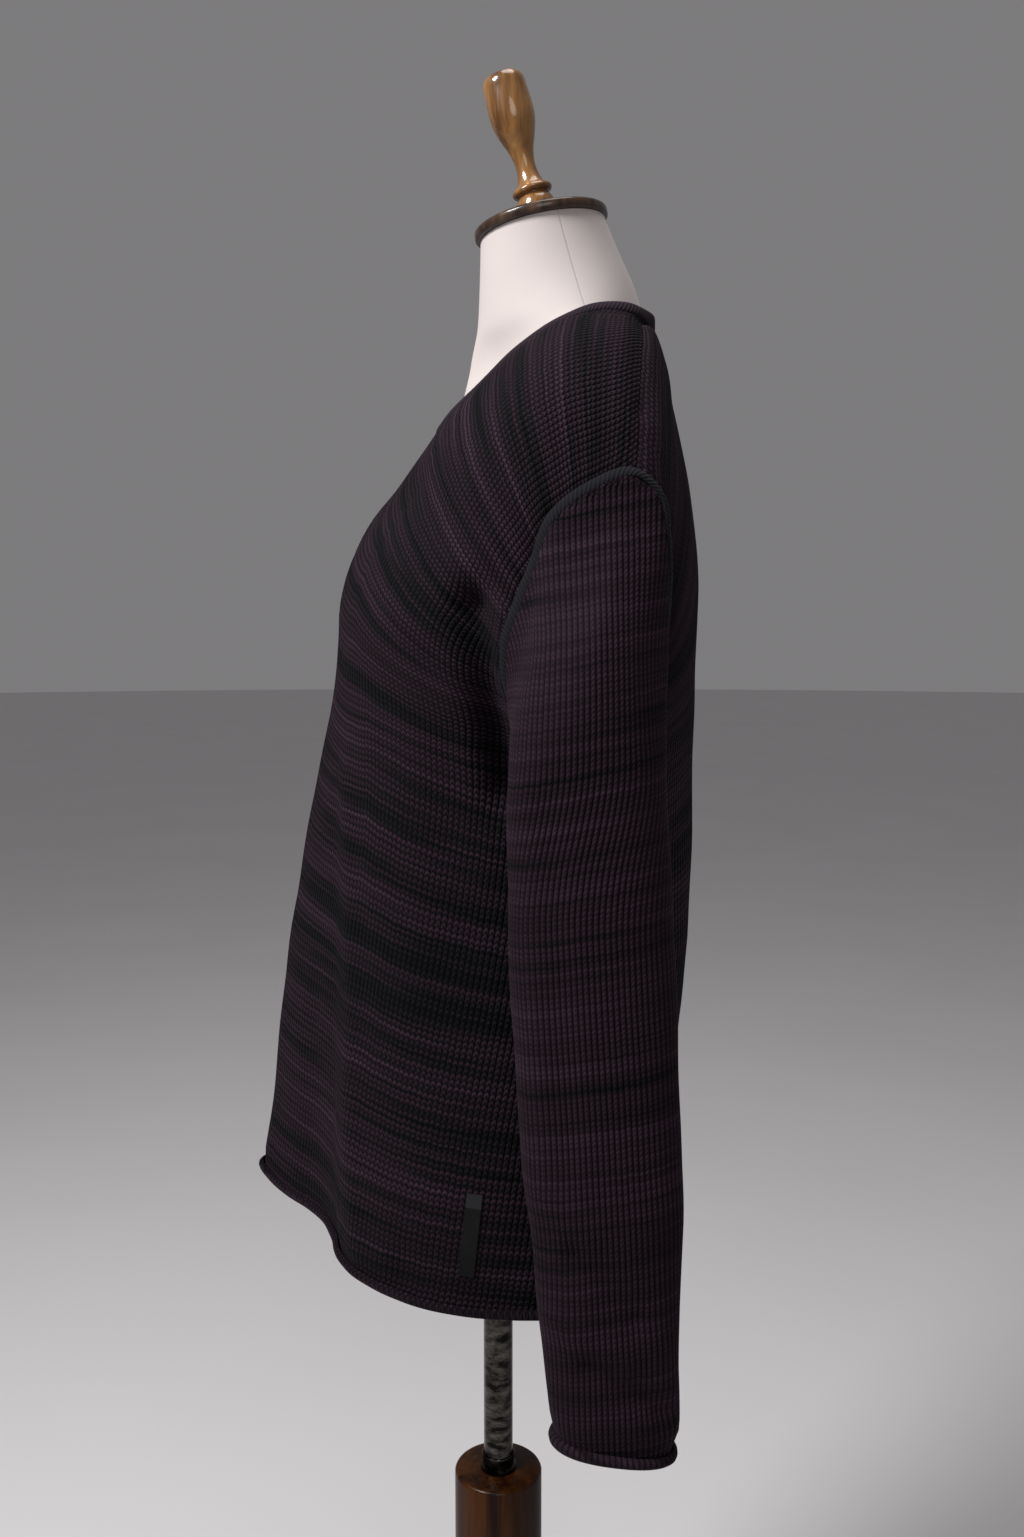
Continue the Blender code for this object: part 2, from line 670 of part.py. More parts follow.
def turned(name, outline, steps, material, collection, ring=False):
    """A turned piece: an outline of (radius, height) pairs spun round Z; a ring's outline closes."""
    mesh = bpy.data.meshes.new(name)
    edges = [(index, index + 1) for index in range(len(outline) - 1)]
    if ring:
        edges.append((len(outline) - 1, 0))
    mesh.from_pydata([(radius, 0, height) for radius, height in outline], edges, [])
    item = add_object(name, mesh, material, collection)
    spin = item.modifiers.new("Turned", "SCREW")
    spin.steps = steps
    spin.render_steps = steps
    spin.use_merge_vertices = True
    spin.merge_threshold = MERGE_DISTANCE
    spin.use_smooth_shade = True
    return item


def build_finial(material, collection, cutters):
    """The turned finial, with its ball cut flat just above the cap."""
    outline = [(spot.radius * MM, spot.height * MM) for spot in reversed(FINIAL_OUTLINE)]
    outline = [(0, outline[0][1])] + outline + [(0, outline[-1][1])]
    item = turned("finial", outline, FINIAL_STEPS, material, collection)
    seat = TOUCH_GAP * 2 + CAP_THICKNESS
    item.location = above_neck(seat)
    item.rotation_euler = (FINIAL_LEAN, 0, 0)
    mesh = bpy.data.meshes.new("finial_cut")
    bm = bmesh.new()
    bmesh.ops.create_cube(bm, size=2 * CAP_RADIUS)
    bm.to_mesh(mesh)
    bm.free()
    cutter = bpy.data.objects.new("finial_cut", mesh)
    cutter.location = above_neck(seat - CAP_RADIUS)
    cutter.rotation_euler = (CAP_LEAN, 0, 0)
    cutter.hide_render = True
    cutter.display_type = "WIRE"
    cutters.objects.link(cutter)
    cut = item.modifiers.new("Flat seat", "BOOLEAN")
    cut.object = cutter
    return item


# Stand

def build_pole(material, collection):
    outline = (
        (0, POLE_TOP), (POLE_RADIUS - EDGE_BREAK, POLE_TOP), (POLE_RADIUS, POLE_TOP - EDGE_BREAK),
        (POLE_RADIUS, POLE_BOTTOM), (0, POLE_BOTTOM),
    )
    return turned("pole", outline, TUBE_STEPS, material, collection)


def build_collar(material, collection):
    inner = POLE_RADIUS + RUNNING_GAP
    bottom = POST_TOP + TOUCH_GAP
    lip = bottom + COLLAR_LIP_HEIGHT
    top = bottom + COLLAR_HEIGHT
    outline = (
        (inner, bottom), (inner, top), (COLLAR_RADIUS, top), (COLLAR_RADIUS, lip),
        (COLLAR_LIP_RADIUS, lip), (COLLAR_LIP_RADIUS, bottom),
    )
    return turned("post_collar", outline, TUBE_STEPS, material, collection, ring=True)


def build_post(material, collection):
    bore = POLE_RADIUS + RUNNING_GAP
    bottom = BASE_THICKNESS + TOUCH_GAP
    outline = (
        (0, BORE_BOTTOM), (bore, BORE_BOTTOM), (bore, POST_TOP),
        (POST_RADIUS - POST_CHAMFER, POST_TOP), (POST_RADIUS, POST_TOP - POST_CHAMFER),
        (POST_RADIUS, bottom), (0, bottom),
    )
    return turned("post", outline, WIDE_STEPS, material, collection)


def build_base(material, collection):
    outline = [(0, BASE_THICKNESS)]
    for turn in np.radians((90, 60, 30, 0)):
        radius = BASE_RADIUS - BASE_EDGE * (1 - math.cos(turn))
        outline.append((radius, BASE_THICKNESS - BASE_EDGE * (1 - math.sin(turn))))
    outline += [(BASE_RADIUS, EDGE_BREAK), (BASE_RADIUS - EDGE_BREAK, 0), (0, 0)]
    return turned("base", outline, WIDE_STEPS, material, collection)


def main():
    clear_scene()
    collection = bpy.data.collections.new("sweater on dress form")
    bpy.context.scene.collection.children.link(collection)
    cutters = bpy.data.collections.new("cutters")
    bpy.context.scene.collection.children.link(cutters)

    knit = new_material("plum knit", (0.030, 0.017, 0.024), 0.9)
    tape = new_material("black woven tape", (0.006, 0.006, 0.007), 0.7)
    jersey = new_material("white form jersey", (0.82, 0.78, 0.76), 0.85)
    cap_wood = new_material("dark cap wood", (0.09, 0.05, 0.03), 0.35)
    finial_wood = new_material("finial wood", (0.20, 0.09, 0.03), 0.3)
    post_wood = new_material("post wood", (0.05, 0.02, 0.008), 0.3)
    chrome = new_material("chrome", (0.62, 0.61, 0.6), 0.12, 1.0)

    front_half, back_half = half_panels()
    front = build_panel("front_panel", front_half, back_half, CENTRE_ROWS, knit, collection)
    front_half, back_half = mirrored(front_half), mirrored(back_half)
    back = build_panel("back_panel", back_half, front_half, BACK_CENTRE_ROWS, knit, collection)
    build_sleeve("left_sleeve", 1, knit, collection)
    build_sleeve("right_sleeve", -1, knit, collection)
    build_cord("neck_trim", neck_line(), TRIM_RADIUS, knit, collection)
    build_armhole_band("left_armhole_seam", 1, knit, collection)
    build_armhole_band("right_armhole_seam", -1, knit, collection)
    build_label(front, tape, collection)

    build_torso((front, back), jersey, collection)
    build_cap(cap_wood, collection)
    build_finial(finial_wood, collection, cutters)
    build_pole(chrome, collection)
    build_collar(chrome, collection)
    build_post(post_wood, collection)
    build_base(post_wood, collection)


main()
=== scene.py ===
"""Looks of an oversized space-dyed sweater on a limbless dress form with a pole, a post and a base.

Metres, +Z up. The sweater's front faces -Y and the wearer's left, which the camera sees, is +X.
"""
import math
from collections import namedtuple
from functools import partial

import bmesh
import bpy
import numpy as np
from mathutils import Matrix, Vector, noise
from mathutils.bvhtree import BVHTree


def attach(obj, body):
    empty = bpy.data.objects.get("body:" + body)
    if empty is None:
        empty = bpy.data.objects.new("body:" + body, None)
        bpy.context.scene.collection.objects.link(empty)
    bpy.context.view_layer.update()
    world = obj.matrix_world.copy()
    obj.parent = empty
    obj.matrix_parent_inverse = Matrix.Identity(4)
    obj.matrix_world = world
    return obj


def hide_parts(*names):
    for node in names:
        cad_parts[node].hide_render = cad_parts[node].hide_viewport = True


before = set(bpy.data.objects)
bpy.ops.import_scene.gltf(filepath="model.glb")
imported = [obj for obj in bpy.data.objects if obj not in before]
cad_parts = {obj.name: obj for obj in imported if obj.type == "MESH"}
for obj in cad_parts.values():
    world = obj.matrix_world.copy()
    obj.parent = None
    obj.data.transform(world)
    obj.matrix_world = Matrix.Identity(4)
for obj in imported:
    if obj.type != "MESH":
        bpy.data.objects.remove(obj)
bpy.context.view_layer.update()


# Camera, floor and lights. The photograph was taken level with the chest, 1.1 m from the
# stand's pole, looking a little down. The studio has a pale floor and large soft lights.

CAMERA_SPOT = (1.10, 0.012, 1.227)
CAMERA_DOWN = math.radians(5.7)
PHOTO_SIZE = (1024, 1537)
FOCAL_PIXELS = 1325
SENSOR = 36                     # the long side, in millimetres
FLOOR_RADIUS = 30
FLOOR_CLOUDS = 1.4              # clouds to a metre
FLOOR_DARK = (0.70, 0.68, 0.69, 1)
FLOOR_PALE = (0.76, 0.74, 0.75, 1)
AIR_COLOUR = (0.60, 0.585, 0.60, 1)
AIR_STRENGTH = 0.34

camera_data = bpy.data.cameras.new("camera")
camera_data.sensor_width = SENSOR
camera_data.lens = FOCAL_PIXELS / PHOTO_SIZE[1] * SENSOR
camera = bpy.data.objects.new("camera", camera_data)
camera.location = CAMERA_SPOT
camera.rotation_euler = (math.radians(90) - CAMERA_DOWN, 0, math.radians(90))
bpy.context.collection.objects.link(camera)
bpy.context.scene.camera = camera


def set_inputs(tree, node, inputs):
    """Give a node its inputs: a socket is linked, anything else is set."""
    for name, value in inputs.items():
        if isinstance(value, bpy.types.NodeSocket):
            tree.links.new(value, node.inputs[name])
        else:
            node.inputs[name].default_value = value


def add_node(tree, kind, inputs=None, **settings):
    """A new shader node with its settings and inputs."""
    node = tree.nodes.new("ShaderNode" + kind)
    for name, value in settings.items():
        setattr(node, name, value)
    set_inputs(tree, node, inputs or {})
    return node


def new_material(name, colour, roughness, metallic=0.0):
    """A material with one Principled shader; its node tree and shader are handed back too."""
    material = bpy.data.materials.new(name)
    material.use_nodes = True
    tree = material.node_tree
    shader = tree.nodes["Principled BSDF"]
    set_inputs(tree, shader, {"Base Color": (*colour, 1), "Roughness": roughness, "Metallic": metallic})
    return material, tree, shader


def object_place(tree):
    """The place in the object's own metres."""
    return add_node(tree, "TexCoord").outputs["Object"]


def clouds(tree, place, scale=1.0, detail=2.0, distortion=0.0, stretch=None, dimensions="3D"):
    """Noise from 0 to 1 over a place, which may be stretched first."""
    if stretch:
        place = add_node(tree, "Mapping", {"Scale": stretch, "Vector": place}).outputs[0]
    inputs = {"Vector": place, "Scale": scale, "Detail": detail, "Distortion": distortion}
    return add_node(tree, "TexNoise", inputs, noise_dimensions=dimensions).outputs[0]


def blend(tree, share, first, second, kind="MIX"):
    """A colour mixed from two, each a colour or a socket."""
    mix = add_node(tree, "Mix", data_type="RGBA", blend_type=kind)
    set_inputs(tree, mix, {"Factor": share, "A": first, "B": second})
    return mix.outputs["Result"]


def studio_floor():
    """A wide pale floor, faintly clouded so that it isn't one flat colour."""
    material, tree, shader = new_material("studio floor", (0.72, 0.70, 0.71), 0.85)
    cloud = clouds(tree, object_place(tree), FLOOR_CLOUDS)
    set_inputs(tree, shader, {"Base Color": blend(tree, cloud, FLOOR_DARK, FLOOR_PALE)})
    mesh = bpy.data.meshes.new("studio_floor")
    bm = bmesh.new()
    bmesh.ops.create_circle(bm, cap_ends=True, segments=64, radius=FLOOR_RADIUS)
    bm.to_mesh(mesh)
    bm.free()
    mesh.materials.append(material)
    floor = bpy.data.objects.new("studio_floor", mesh)
    bpy.context.collection.objects.link(floor)


def soft_light(name, spot, target, size, watts):
    """A round area light at a spot, turned to its target."""
    data = bpy.data.lights.new(name, "AREA")
    data.shape = "DISK"
    data.size = size
    data.energy = watts
    light = bpy.data.objects.new(name, data)
    light.location = spot
    light.rotation_euler = (Vector(target) - Vector(spot)).to_track_quat("-Z", "Y").to_euler()
    bpy.context.collection.objects.link(light)


studio_floor()
soft_light("key", (0.9, -1.35, 2.65), (0, 0, 1.25), 0.8, 68)
soft_light("top", (0.2, 0.2, 3.2), (0, 0, 1.0), 1.2, 18)
soft_light("fill", (2.4, 0.2, 2.1), (0, 0, 1.2), 1.2, 10)

world = bpy.data.worlds.new("studio air")
world.use_nodes = True
background = world.node_tree.nodes["Background"]
set_inputs(world.node_tree, background, {"Color": AIR_COLOUR, "Strength": AIR_STRENGTH})
bpy.context.scene.world = world
bpy.context.scene.view_settings.view_transform = "Standard"


# Front and back panels. Fine ribbed knit in a space-dyed yarn, plum with slate and black, knitted
# as two panels and linked at the sides and shoulders; the hem rolls outwards by itself. Their
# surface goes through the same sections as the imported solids, with each rib raised on it.

CLOTH = 0.0020                  # thickness of the knit
SEAM_GAP = 0.0002
ROLL_HOLE = 0.0017              # radius of the hole inside a rolled edge
ROLL_TURN = math.radians(262)
ROLL_STEPS = 9
TRIM_RADIUS = 0.0032
BAND_RADIUS = 0.0025
EDGE_GAP = 0.0013               # from a cloth edge to the trim or band that it is linked to
PANEL_COLUMNS = 13
LOWER_ROWS = 11
CENTRE_ROWS = 8
NECK_ROWS = 10
BACK_CENTRE_ROWS = 10
BACK_NECK_ROWS = 5
FINE_ROWS = 3                   # steps that each span of rows and columns is cut into
FINE_COLUMNS = 6
BODY_RIB = 0.0044               # one rib and its furrow
RIB_POINTS = 4                  # points across one rib
RIB_HEIGHT = 0.0003
RIB_PROFILE = (0.0, 0.72, 1.0, 0.72)
RIB_FADE = 0.004                # a rib sinks into the seam over this length
ON_THE_MIDDLE = 0.00002         # points this near the middle line are laid on it
SAME_PLACE = 1e-6               # points this near each other are one

# Half sections of the body from the hem up, in millimetres.
BodyRow = namedtuple(
    "BodyRow",
    "front_z side_z back_z front_y prow_x prow_y cheek_x cheek_y ridge_x ridge_y "
    "flank_x flank_y seam_x seam_y hip_x hip_y rear_x rear_y back_y",
)
BODY_ROWS = (
    BodyRow(
        778, 752, 756, -202, 38, -180, 84, -139, 163, -107, 199,
        -62, 211, 35, 197, 90, 130, 128, 138,
    ),
    BodyRow(
        815, 795, 797, -195, 38, -174, 84, -139, 160, -108, 196,
        -62, 208, 35, 194, 90, 128, 129, 139,
    ),
    BodyRow(
        900, 885, 885, -185, 38, -168, 82, -136, 145, -110, 186,
        -63, 200, 36, 187, 91, 124, 131, 141,
    ),
    BodyRow(
        1000, 985, 985, -171, 36, -158, 76, -134, 122, -113, 170,
        -67, 190, 37, 179, 93, 122, 138, 148,
    ),
    BodyRow(
        1105, 1085, 1085, -151, 33, -143, 66, -130, 104, -115, 160,
        -69, 184, 39, 174, 96, 120, 140, 151,
    ),
    BodyRow(
        1190, 1157, 1160, -133, 32, -130, 62, -126, 94, -116, 156,
        -67, 188, 45, 176, 99, 119, 140, 152,
    ),
)

# Middle lines above the underarm, necklines, shoulder seam and armhole, in millimetres.
Place = namedtuple("Place", "x y z")
FRONT_CENTRE = (
    Place(0, -133, 1190), Place(0, -125, 1235), Place(0, -122, 1275),
    Place(0, -108, 1313), Place(0, -77, 1351),
)
BACK_CENTRE = (
    Place(0, 152, 1160), Place(0, 152, 1209), Place(0, 150, 1253),
    Place(0, 148, 1327), Place(0, 144, 1370), Place(0, 136, 1414),
)
FRONT_NECKLINE = (
    Place(0, -47, 1394), Place(35, -35, 1402), Place(60, -13, 1418), Place(80, 18, 1443),
    Place(87, 48, 1461), Place(86, 77, 1471), Place(78, 102, 1471), Place(60, 117, 1467),
)
BACK_NECKLINE = (Place(60, 117, 1467), Place(32, 122, 1464), Place(0, 124, 1462))
SHOULDER_SEAM = (
    Place(108, 114, 1457), Place(155, 109, 1436), Place(188, 103, 1400), Place(204, 99, 1369),
)
FRONT_ARMHOLE = (
    Place(190, 45, 1160), Place(193, 13, 1186), Place(198, 8, 1222), Place(204, 17, 1250),
    Place(208, 28, 1278), Place(212, 37, 1303), Place(214, 64, 1325), Place(213, 95, 1334),
)
BACK_ARMHOLE = (
    Place(213, 95, 1334), Place(211, 110, 1321), Place(208, 116, 1290), Place(203, 117, 1250),
    Place(197, 110, 1205), Place(193, 86, 1172), Place(190, 45, 1160),
)
FRONT_FULLNESS = -0.005         # how far the upper panels stand out past an even blend of borders
BACK_FULLNESS = -0.009


def metres(places):
    """Places in millimetres as an array in metres."""
    return np.array(places, float) / 1000


def unit(vectors):
    """The same directions at length one."""
    return vectors / np.linalg.norm(vectors, axis=-1)[..., None]


def travel(line):
    """How far along a line each of its points lies."""
    return np.concatenate(([0], np.cumsum(np.linalg.norm(np.diff(line, axis=0), axis=1))))


def read_off(spots, travelled, values):
    """The values of a line's points, read off at the given distances along it."""
    return np.stack([np.interp(spots, travelled, column) for column in values.T], axis=-1)


def evenly(points, count):
    """Points spaced evenly along a polyline."""
    travelled = travel(points)
    return read_off(np.linspace(0, travelled[-1], count), travelled, points)


def smooth_curve(points, before=None, after=None, fineness=12):
    """A smooth curve through points, with each span cut in steps; it passes every point."""
    points = np.asarray(points, float)
    before = 2 * points[0] - points[1] if before is None else before
    after = 2 * points[-1] - points[-2] if after is None else after
    knots = np.vstack((before, points, after))
    spans = np.linalg.norm(np.diff(knots, axis=0), axis=1)[:, None]
    speeds = np.diff(knots, axis=0) / spans
    tangents = (speeds[:-1] * spans[1:] + speeds[1:] * spans[:-1]) / (spans[:-1] + spans[1:])
    fine = []
    for index in range(len(points) - 1):
        span = spans[index + 1]
        for step in range(fineness):
            t = step / fineness
            fine.append(
                (2 * t**3 - 3 * t**2 + 1) * points[index]
                + (t**3 - 2 * t**2 + t) * span * tangents[index]
                + (3 * t**2 - 2 * t**3) * points[index + 1]
                + (t**3 - t**2) * span * tangents[index + 1]
            )
    fine.append(points[-1])
    return np.array(fine)


def mirrored(point):
    """The same place on the right side."""
    return point * np.array((-1, 1, 1))


def coons_patch(bottom, top, inner, outer):
    """A grid that fills four border curves: rows run from inner to outer, bottom to top."""
    across = np.linspace(0, 1, len(bottom))[None, :, None]
    up = np.linspace(0, 1, len(inner))[:, None, None]
    between_rows = (1 - up) * bottom[None] + up * top[None]
    between_columns = (1 - across) * inner[:, None] + across * outer[:, None]
    corners = (
        (1 - up) * ((1 - across) * bottom[0] + across * bottom[-1])
        + up * ((1 - across) * top[0] + across * top[-1])
    )
    return between_rows + between_columns - corners


def relax(grid, rows, passes=3):
    """Soften the given rows up and down, but leave the two side borders."""
    for _ in range(passes):
        for row in rows:
            grid[row, 1:-1] = (grid[row - 1, 1:-1] + 2 * grid[row, 1:-1] + grid[row + 1, 1:-1]) / 4
    return grid


def armhole_loop():
    """The middle line of an armhole band: up the front, then down the back."""
    front = smooth_curve(metres(FRONT_ARMHOLE), after=metres(BACK_ARMHOLE)[1])
    back = smooth_curve(metres(BACK_ARMHOLE), before=metres(FRONT_ARMHOLE)[-2])
    return front, back


def square_to(line, directions):
    """Directions with their part along the line taken out, at unit length."""
    along = unit(np.gradient(line, axis=0))
    return unit(directions - (directions * along).sum(axis=1)[:, None] * along)


def body_lines():
    """Rows of the lower body, each from the front middle to the side seam and on to the back."""
    controls = []
    for row in BODY_ROWS:
        front_heights = np.linspace(row.front_z, row.side_z, 6)
        back_heights = np.linspace(row.side_z, row.back_z, 4)
        controls.append((
            (0, row.front_y, front_heights[0]),
            (row.prow_x, row.prow_y, front_heights[1]),
            (row.cheek_x, row.cheek_y, front_heights[2]),
            (row.ridge_x, row.ridge_y, front_heights[3]),
            (row.flank_x, row.flank_y, front_heights[4]),
            (row.seam_x, row.seam_y, row.side_z),
            (row.hip_x, row.hip_y, back_heights[1]),
            (row.rear_x, row.rear_y, back_heights[2]),
            (0, row.back_y, row.back_z),
        ))
    controls = metres(controls)
    columns = [evenly(smooth_curve(controls[:, index]), LOWER_ROWS) for index in range(9)]
    return np.stack(columns, axis=1)


def lower_halves():
    """Lower grids of the front and back half panels, each from its middle line to the side seam."""
    fineness = 12
    seam_index = 5 * fineness
    front, back = [], []
    for line in body_lines():
        fine = smooth_curve(line, mirrored(line[1]), mirrored(line[-2]), fineness)
        front.append(evenly(fine[: seam_index + 1], PANEL_COLUMNS))
        back.append(evenly(fine[seam_index:], PANEL_COLUMNS)[::-1])
    return np.array(front), np.array(back)


def yoke(bottom, middle, neck, armhole, fullness):
    """Upper grid of a half panel between its middle line, neckline, armhole and shoulder seam."""
    inner = np.vstack((middle, neck[1:]))
    shoulder = np.vstack((inner[-1], metres(SHOULDER_SEAM), armhole[-1]))
    top = evenly(smooth_curve(shoulder), len(bottom))
    bottom = bottom + np.linspace(0, 1, len(bottom))[:, None] * (armhole[0] - bottom[-1])
    grid = coons_patch(bottom, top, inner, armhole)
    across = np.linspace(0, math.pi, grid.shape[1])[None, :]
    up = np.linspace(0, math.pi, grid.shape[0])[:, None]
    grid[:, :, 1] += fullness * np.sin(across) * np.sin(up)
    return grid


def half_panel(lower, centre, neckline, armhole, centre_rows, neck_rows, fullness):
    """A half panel whose edges stand off the neck trim and the armhole band."""
    neck = evenly(smooth_curve(metres(neckline)), neck_rows + 1)
    middle = np.vstack((lower[-1, 0], metres(centre)[1:], neck[0]))
    middle = evenly(smooth_curve(middle), centre_rows + 1)
    armhole = evenly(armhole, centre_rows + neck_rows + 1)
    first = len(lower) - 1
    draft = np.vstack((lower[:-1], yoke(lower[-1], middle, neck, armhole, fullness)))
    inwards = draft[first - 3: -3, -4] - armhole
    armhole = armhole + square_to(armhole, inwards) * (BAND_RADIUS + EDGE_GAP)
    outwards = draft[first + centre_rows - 2: -2, 3] - neck
    neck = neck + square_to(neck, outwards) * (TRIM_RADIUS + EDGE_GAP)
    neck[0, 0] = 0
    middle = evenly(smooth_curve(np.vstack((middle[:-1], neck[0]))), centre_rows + 1)
    grid = np.vstack((lower[:-1], yoke(lower[-1], middle, neck, armhole, fullness)))
    return relax(grid, range(LOWER_ROWS - 3, LOWER_ROWS + 2))


def half_panels():
    """The front and back half panels, softened together over the shoulder seam."""
    front_lower, back_lower = lower_halves()
    front_armhole, back_armhole = armhole_loop()
    front = half_panel(
        front_lower, FRONT_CENTRE, FRONT_NECKLINE, front_armhole,
        CENTRE_ROWS, NECK_ROWS, FRONT_FULLNESS,
    )
    back = half_panel(
        back_lower, BACK_CENTRE, BACK_NECKLINE[::-1], back_armhole[::-1],
        BACK_CENTRE_ROWS, BACK_NECK_ROWS, BACK_FULLNESS,
    )
    both = np.vstack((front, back[::-1][1:]))
    seam = len(front) - 1
    both = relax(both, range(seam - 2, seam + 3), passes=2)
    return both[: seam + 1], both[seam:][::-1]


def refined(grid, neck_row, above):
    """The grid with its rows and columns cut finer on smooth curves, alike across the middle line."""
    wide = []
    for index, row in enumerate(grid):
        before = mirrored(row[1]) if index <= neck_row else None
        wide.append(smooth_curve(row, before=before, fineness=FINE_COLUMNS))
    wide = np.array(wide)
    ahead = smooth_curve(above, fineness=FINE_COLUMNS)
    columns = [
        smooth_curve(wide[:, index], after=ahead[index], fineness=FINE_ROWS)
        for index in range(wide.shape[1])
    ]
    return np.stack(columns, axis=1)


def surface_normals(grid, before=None, after=None, above=None):
    """Unit normals of a grid; the lines given lie past its borders, across a seam or fold."""
    along = np.gradient(grid, axis=1)
    up = np.gradient(grid, axis=0)
    if before is not None:
        rows = len(before)
        along[:rows, 0] = (grid[:rows, 1] - before) / 2
    if after is not None:
        rows = len(after)
        along[:rows, -1] = (after - grid[:rows, -2]) / 2
    if above is not None:
        up[-1] = (above - grid[-2]) / 2
    return unit(np.cross(along, up))


# Rows of points laid out wale by wale: each point's normal, its place across the wales, and its
# distances to the start and end of its row; rise is the way from the lowest row to the next.
Wales = namedtuple("Wales", "points normals places from_start to_end rise")


def knitted(lines, normals, starts, step):
    """Wales laid over the rows of a surface at equal steps of arc length.

    The ribs run side by side and end at the borders, as on knitted cloth.
    """
    travels = [travel(line) for line in lines]
    ends = [start + travelled[-1] for start, travelled in zip(starts, travels)]
    first, last = math.floor(min(starts) / step), math.ceil(max(ends) / step)
    wales = np.arange(first, last + 1) * step
    points, directions, spots = [], [], []
    for line, direction, start, travelled in zip(lines, normals, starts, travels):
        spot = np.clip(wales - start, 0, travelled[-1])
        points.append(read_off(spot, travelled, line))
        directions.append(read_off(spot, travelled, direction))
        spots.append(spot)
    spots = np.array(spots)
    places = np.asarray(starts)[:, None] + spots
    lengths = np.array([travelled[-1] for travelled in travels])[:, None]
    steps = lines[1] - lines[0]
    rise = read_off(spots[0], travels[0], steps)
    return Wales(np.array(points), unit(np.array(directions)), places, spots, lengths - spots, rise)


def rib_profile(places, pitch):
    """Height of a rib at each wale place, from 0 in a furrow to 1 on top."""
    turn = (places / pitch) % 1 * RIB_POINTS
    return np.interp(turn, range(RIB_POINTS + 1), (*RIB_PROFILE, RIB_PROFILE[0]))


def rolled_edge(edge, rise, out, holes, turns):
    """Rows and their normals that carry a cloth edge round in an outward roll."""
    down = -rise
    down -= (down * out).sum(axis=1)[:, None] * out
    down = unit(down)
    rows, facings = [], []
    for step in range(ROLL_STEPS, 0, -1):
        turn = (turns * step / ROLL_STEPS)[:, None]
        rows.append(
            edge + out * holes[:, None] * (1 - np.cos(turn)) + down * holes[:, None] * np.sin(turn)
        )
        facings.append(out * np.cos(turn) - down * np.sin(turn))
    return np.array(rows), np.array(facings)


def add_piece(name, mesh, material, body, replaced):
    """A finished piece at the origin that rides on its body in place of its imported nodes."""
    mesh.materials.append(material)
    piece = bpy.data.objects.new(name, mesh)
    bpy.context.collection.objects.link(piece)
    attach(piece, body)
    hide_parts(*replaced)
    return piece


def grid_wall(outer, inner, places, courses, both_sides=False):
    """A closed cloth wall: a grid laid on the outer points, then extruded to the inner ones."""
    rows, columns = outer.shape[:2]
    if both_sides:
        middle = np.abs(outer[:, :, 0]) < ON_THE_MIDDLE
        outer[middle, 0], inner[middle, 0] = 0, 0
    bm = bmesh.new()
    maps = bm.loops.layers.uv.new("knit")
    spot = bm.verts.layers.int.new("spot")
    bmesh.ops.create_grid(bm, x_segments=columns - 1, y_segments=rows - 1, size=0.5)
    flat_outer, flat_inner = outer.reshape(-1, 3), inner.reshape(-1, 3)
    texture = np.stack((places, courses), axis=2).reshape(-1, 2)
    for index, vert in enumerate(bm.verts):
        vert.co = flat_outer[index]
        vert[spot] = index
    for face in bm.faces:
        for loop in face.loops:
            loop[maps].uv = texture[loop.vert[spot]]
    bmesh.ops.remove_doubles(bm, verts=bm.verts[:], dist=SAME_PLACE)
    if both_sides:
        whole = bm.verts[:] + bm.edges[:] + bm.faces[:]
        bmesh.ops.mirror(bm, geom=whole, matrix=Matrix(), merge_dist=SAME_PLACE, axis="X")
        for face in bm.faces:
            if face.calc_center_median().x < 0:
                for loop in face.loops:
                    loop[maps].uv.x *= -1
    bm.normal_update()
    turned_in = []
    for face in bm.faces:
        corner = face.verts[0]
        outward = Vector(flat_outer[corner[spot]] - flat_inner[corner[spot]])
        if face.calc_center_median().x < 0 and both_sides:
            outward.x *= -1
        if face.normal.dot(outward) < 0:
            turned_in.append(face)
    bmesh.ops.reverse_faces(bm, faces=turned_in)
    made = bmesh.ops.extrude_face_region(bm, geom=bm.faces[:], use_keep_orig=True)
    for vert in made["geom"]:
        if isinstance(vert, bmesh.types.BMVert):
            side = -1 if both_sides and vert.co.x < -1e-7 else 1
            vert.co = flat_inner[vert[spot]] * np.array((side, 1, 1))
    bmesh.ops.recalc_face_normals(bm, faces=bm.faces[:])
    return bm


def finish_mesh(bm, name, smooth_angle=None):
    """The mesh of a finished bmesh, smooth but for edges sharper than the angle."""
    mesh = bpy.data.meshes.new(name)
    bm.to_mesh(mesh)
    bm.free()
    mesh.shade_smooth()
    if smooth_angle:
        mesh.set_sharp_from_angle(angle=math.radians(smooth_angle))
    return mesh


# Soft folds of the hanging cloth: each is a line over which the cloth is raised, or sunk where
# the height is below zero. Places are in millimetres on the left side and repeat on the right.
Fold = namedtuple("Fold", "start end width height")
BODY_FOLDS = (
    Fold((104, -116, 1120), (168, -106, 775), 13, 2.6),        # from the bust down to the hem
    Fold((76, -131, 1120), (120, -124, 775), 14, -2.2),        # furrow in front of it
    Fold((186, -40, 1150), (200, -30, 1010), 16, -2.5),        # behind it, below the armhole
    Fold((184, -15, 1248), (181, 9, 1122), 14, -24.0),         # hollow in front of the sleeve
    Fold((92, 110, 1463), (198, 100, 1378), 6, -2.2),          # the linked shoulder seam lies low
    Fold((204, 121, 1300), (196, 116, 1190), 7, -4.5),         # the back falls in behind the sleeve
    Fold((206, 4, 770), (196, -66, 776), 15, -5.0),            # tucked in above the hem
    Fold((60, 140, 1250), (110, 132, 1000), 22, 2.0),
    Fold((20, 152, 1120), (70, 140, 900), 18, -1.8),
    Fold((120, 134, 1050), (140, 126, 770), 16, 2.2),
)


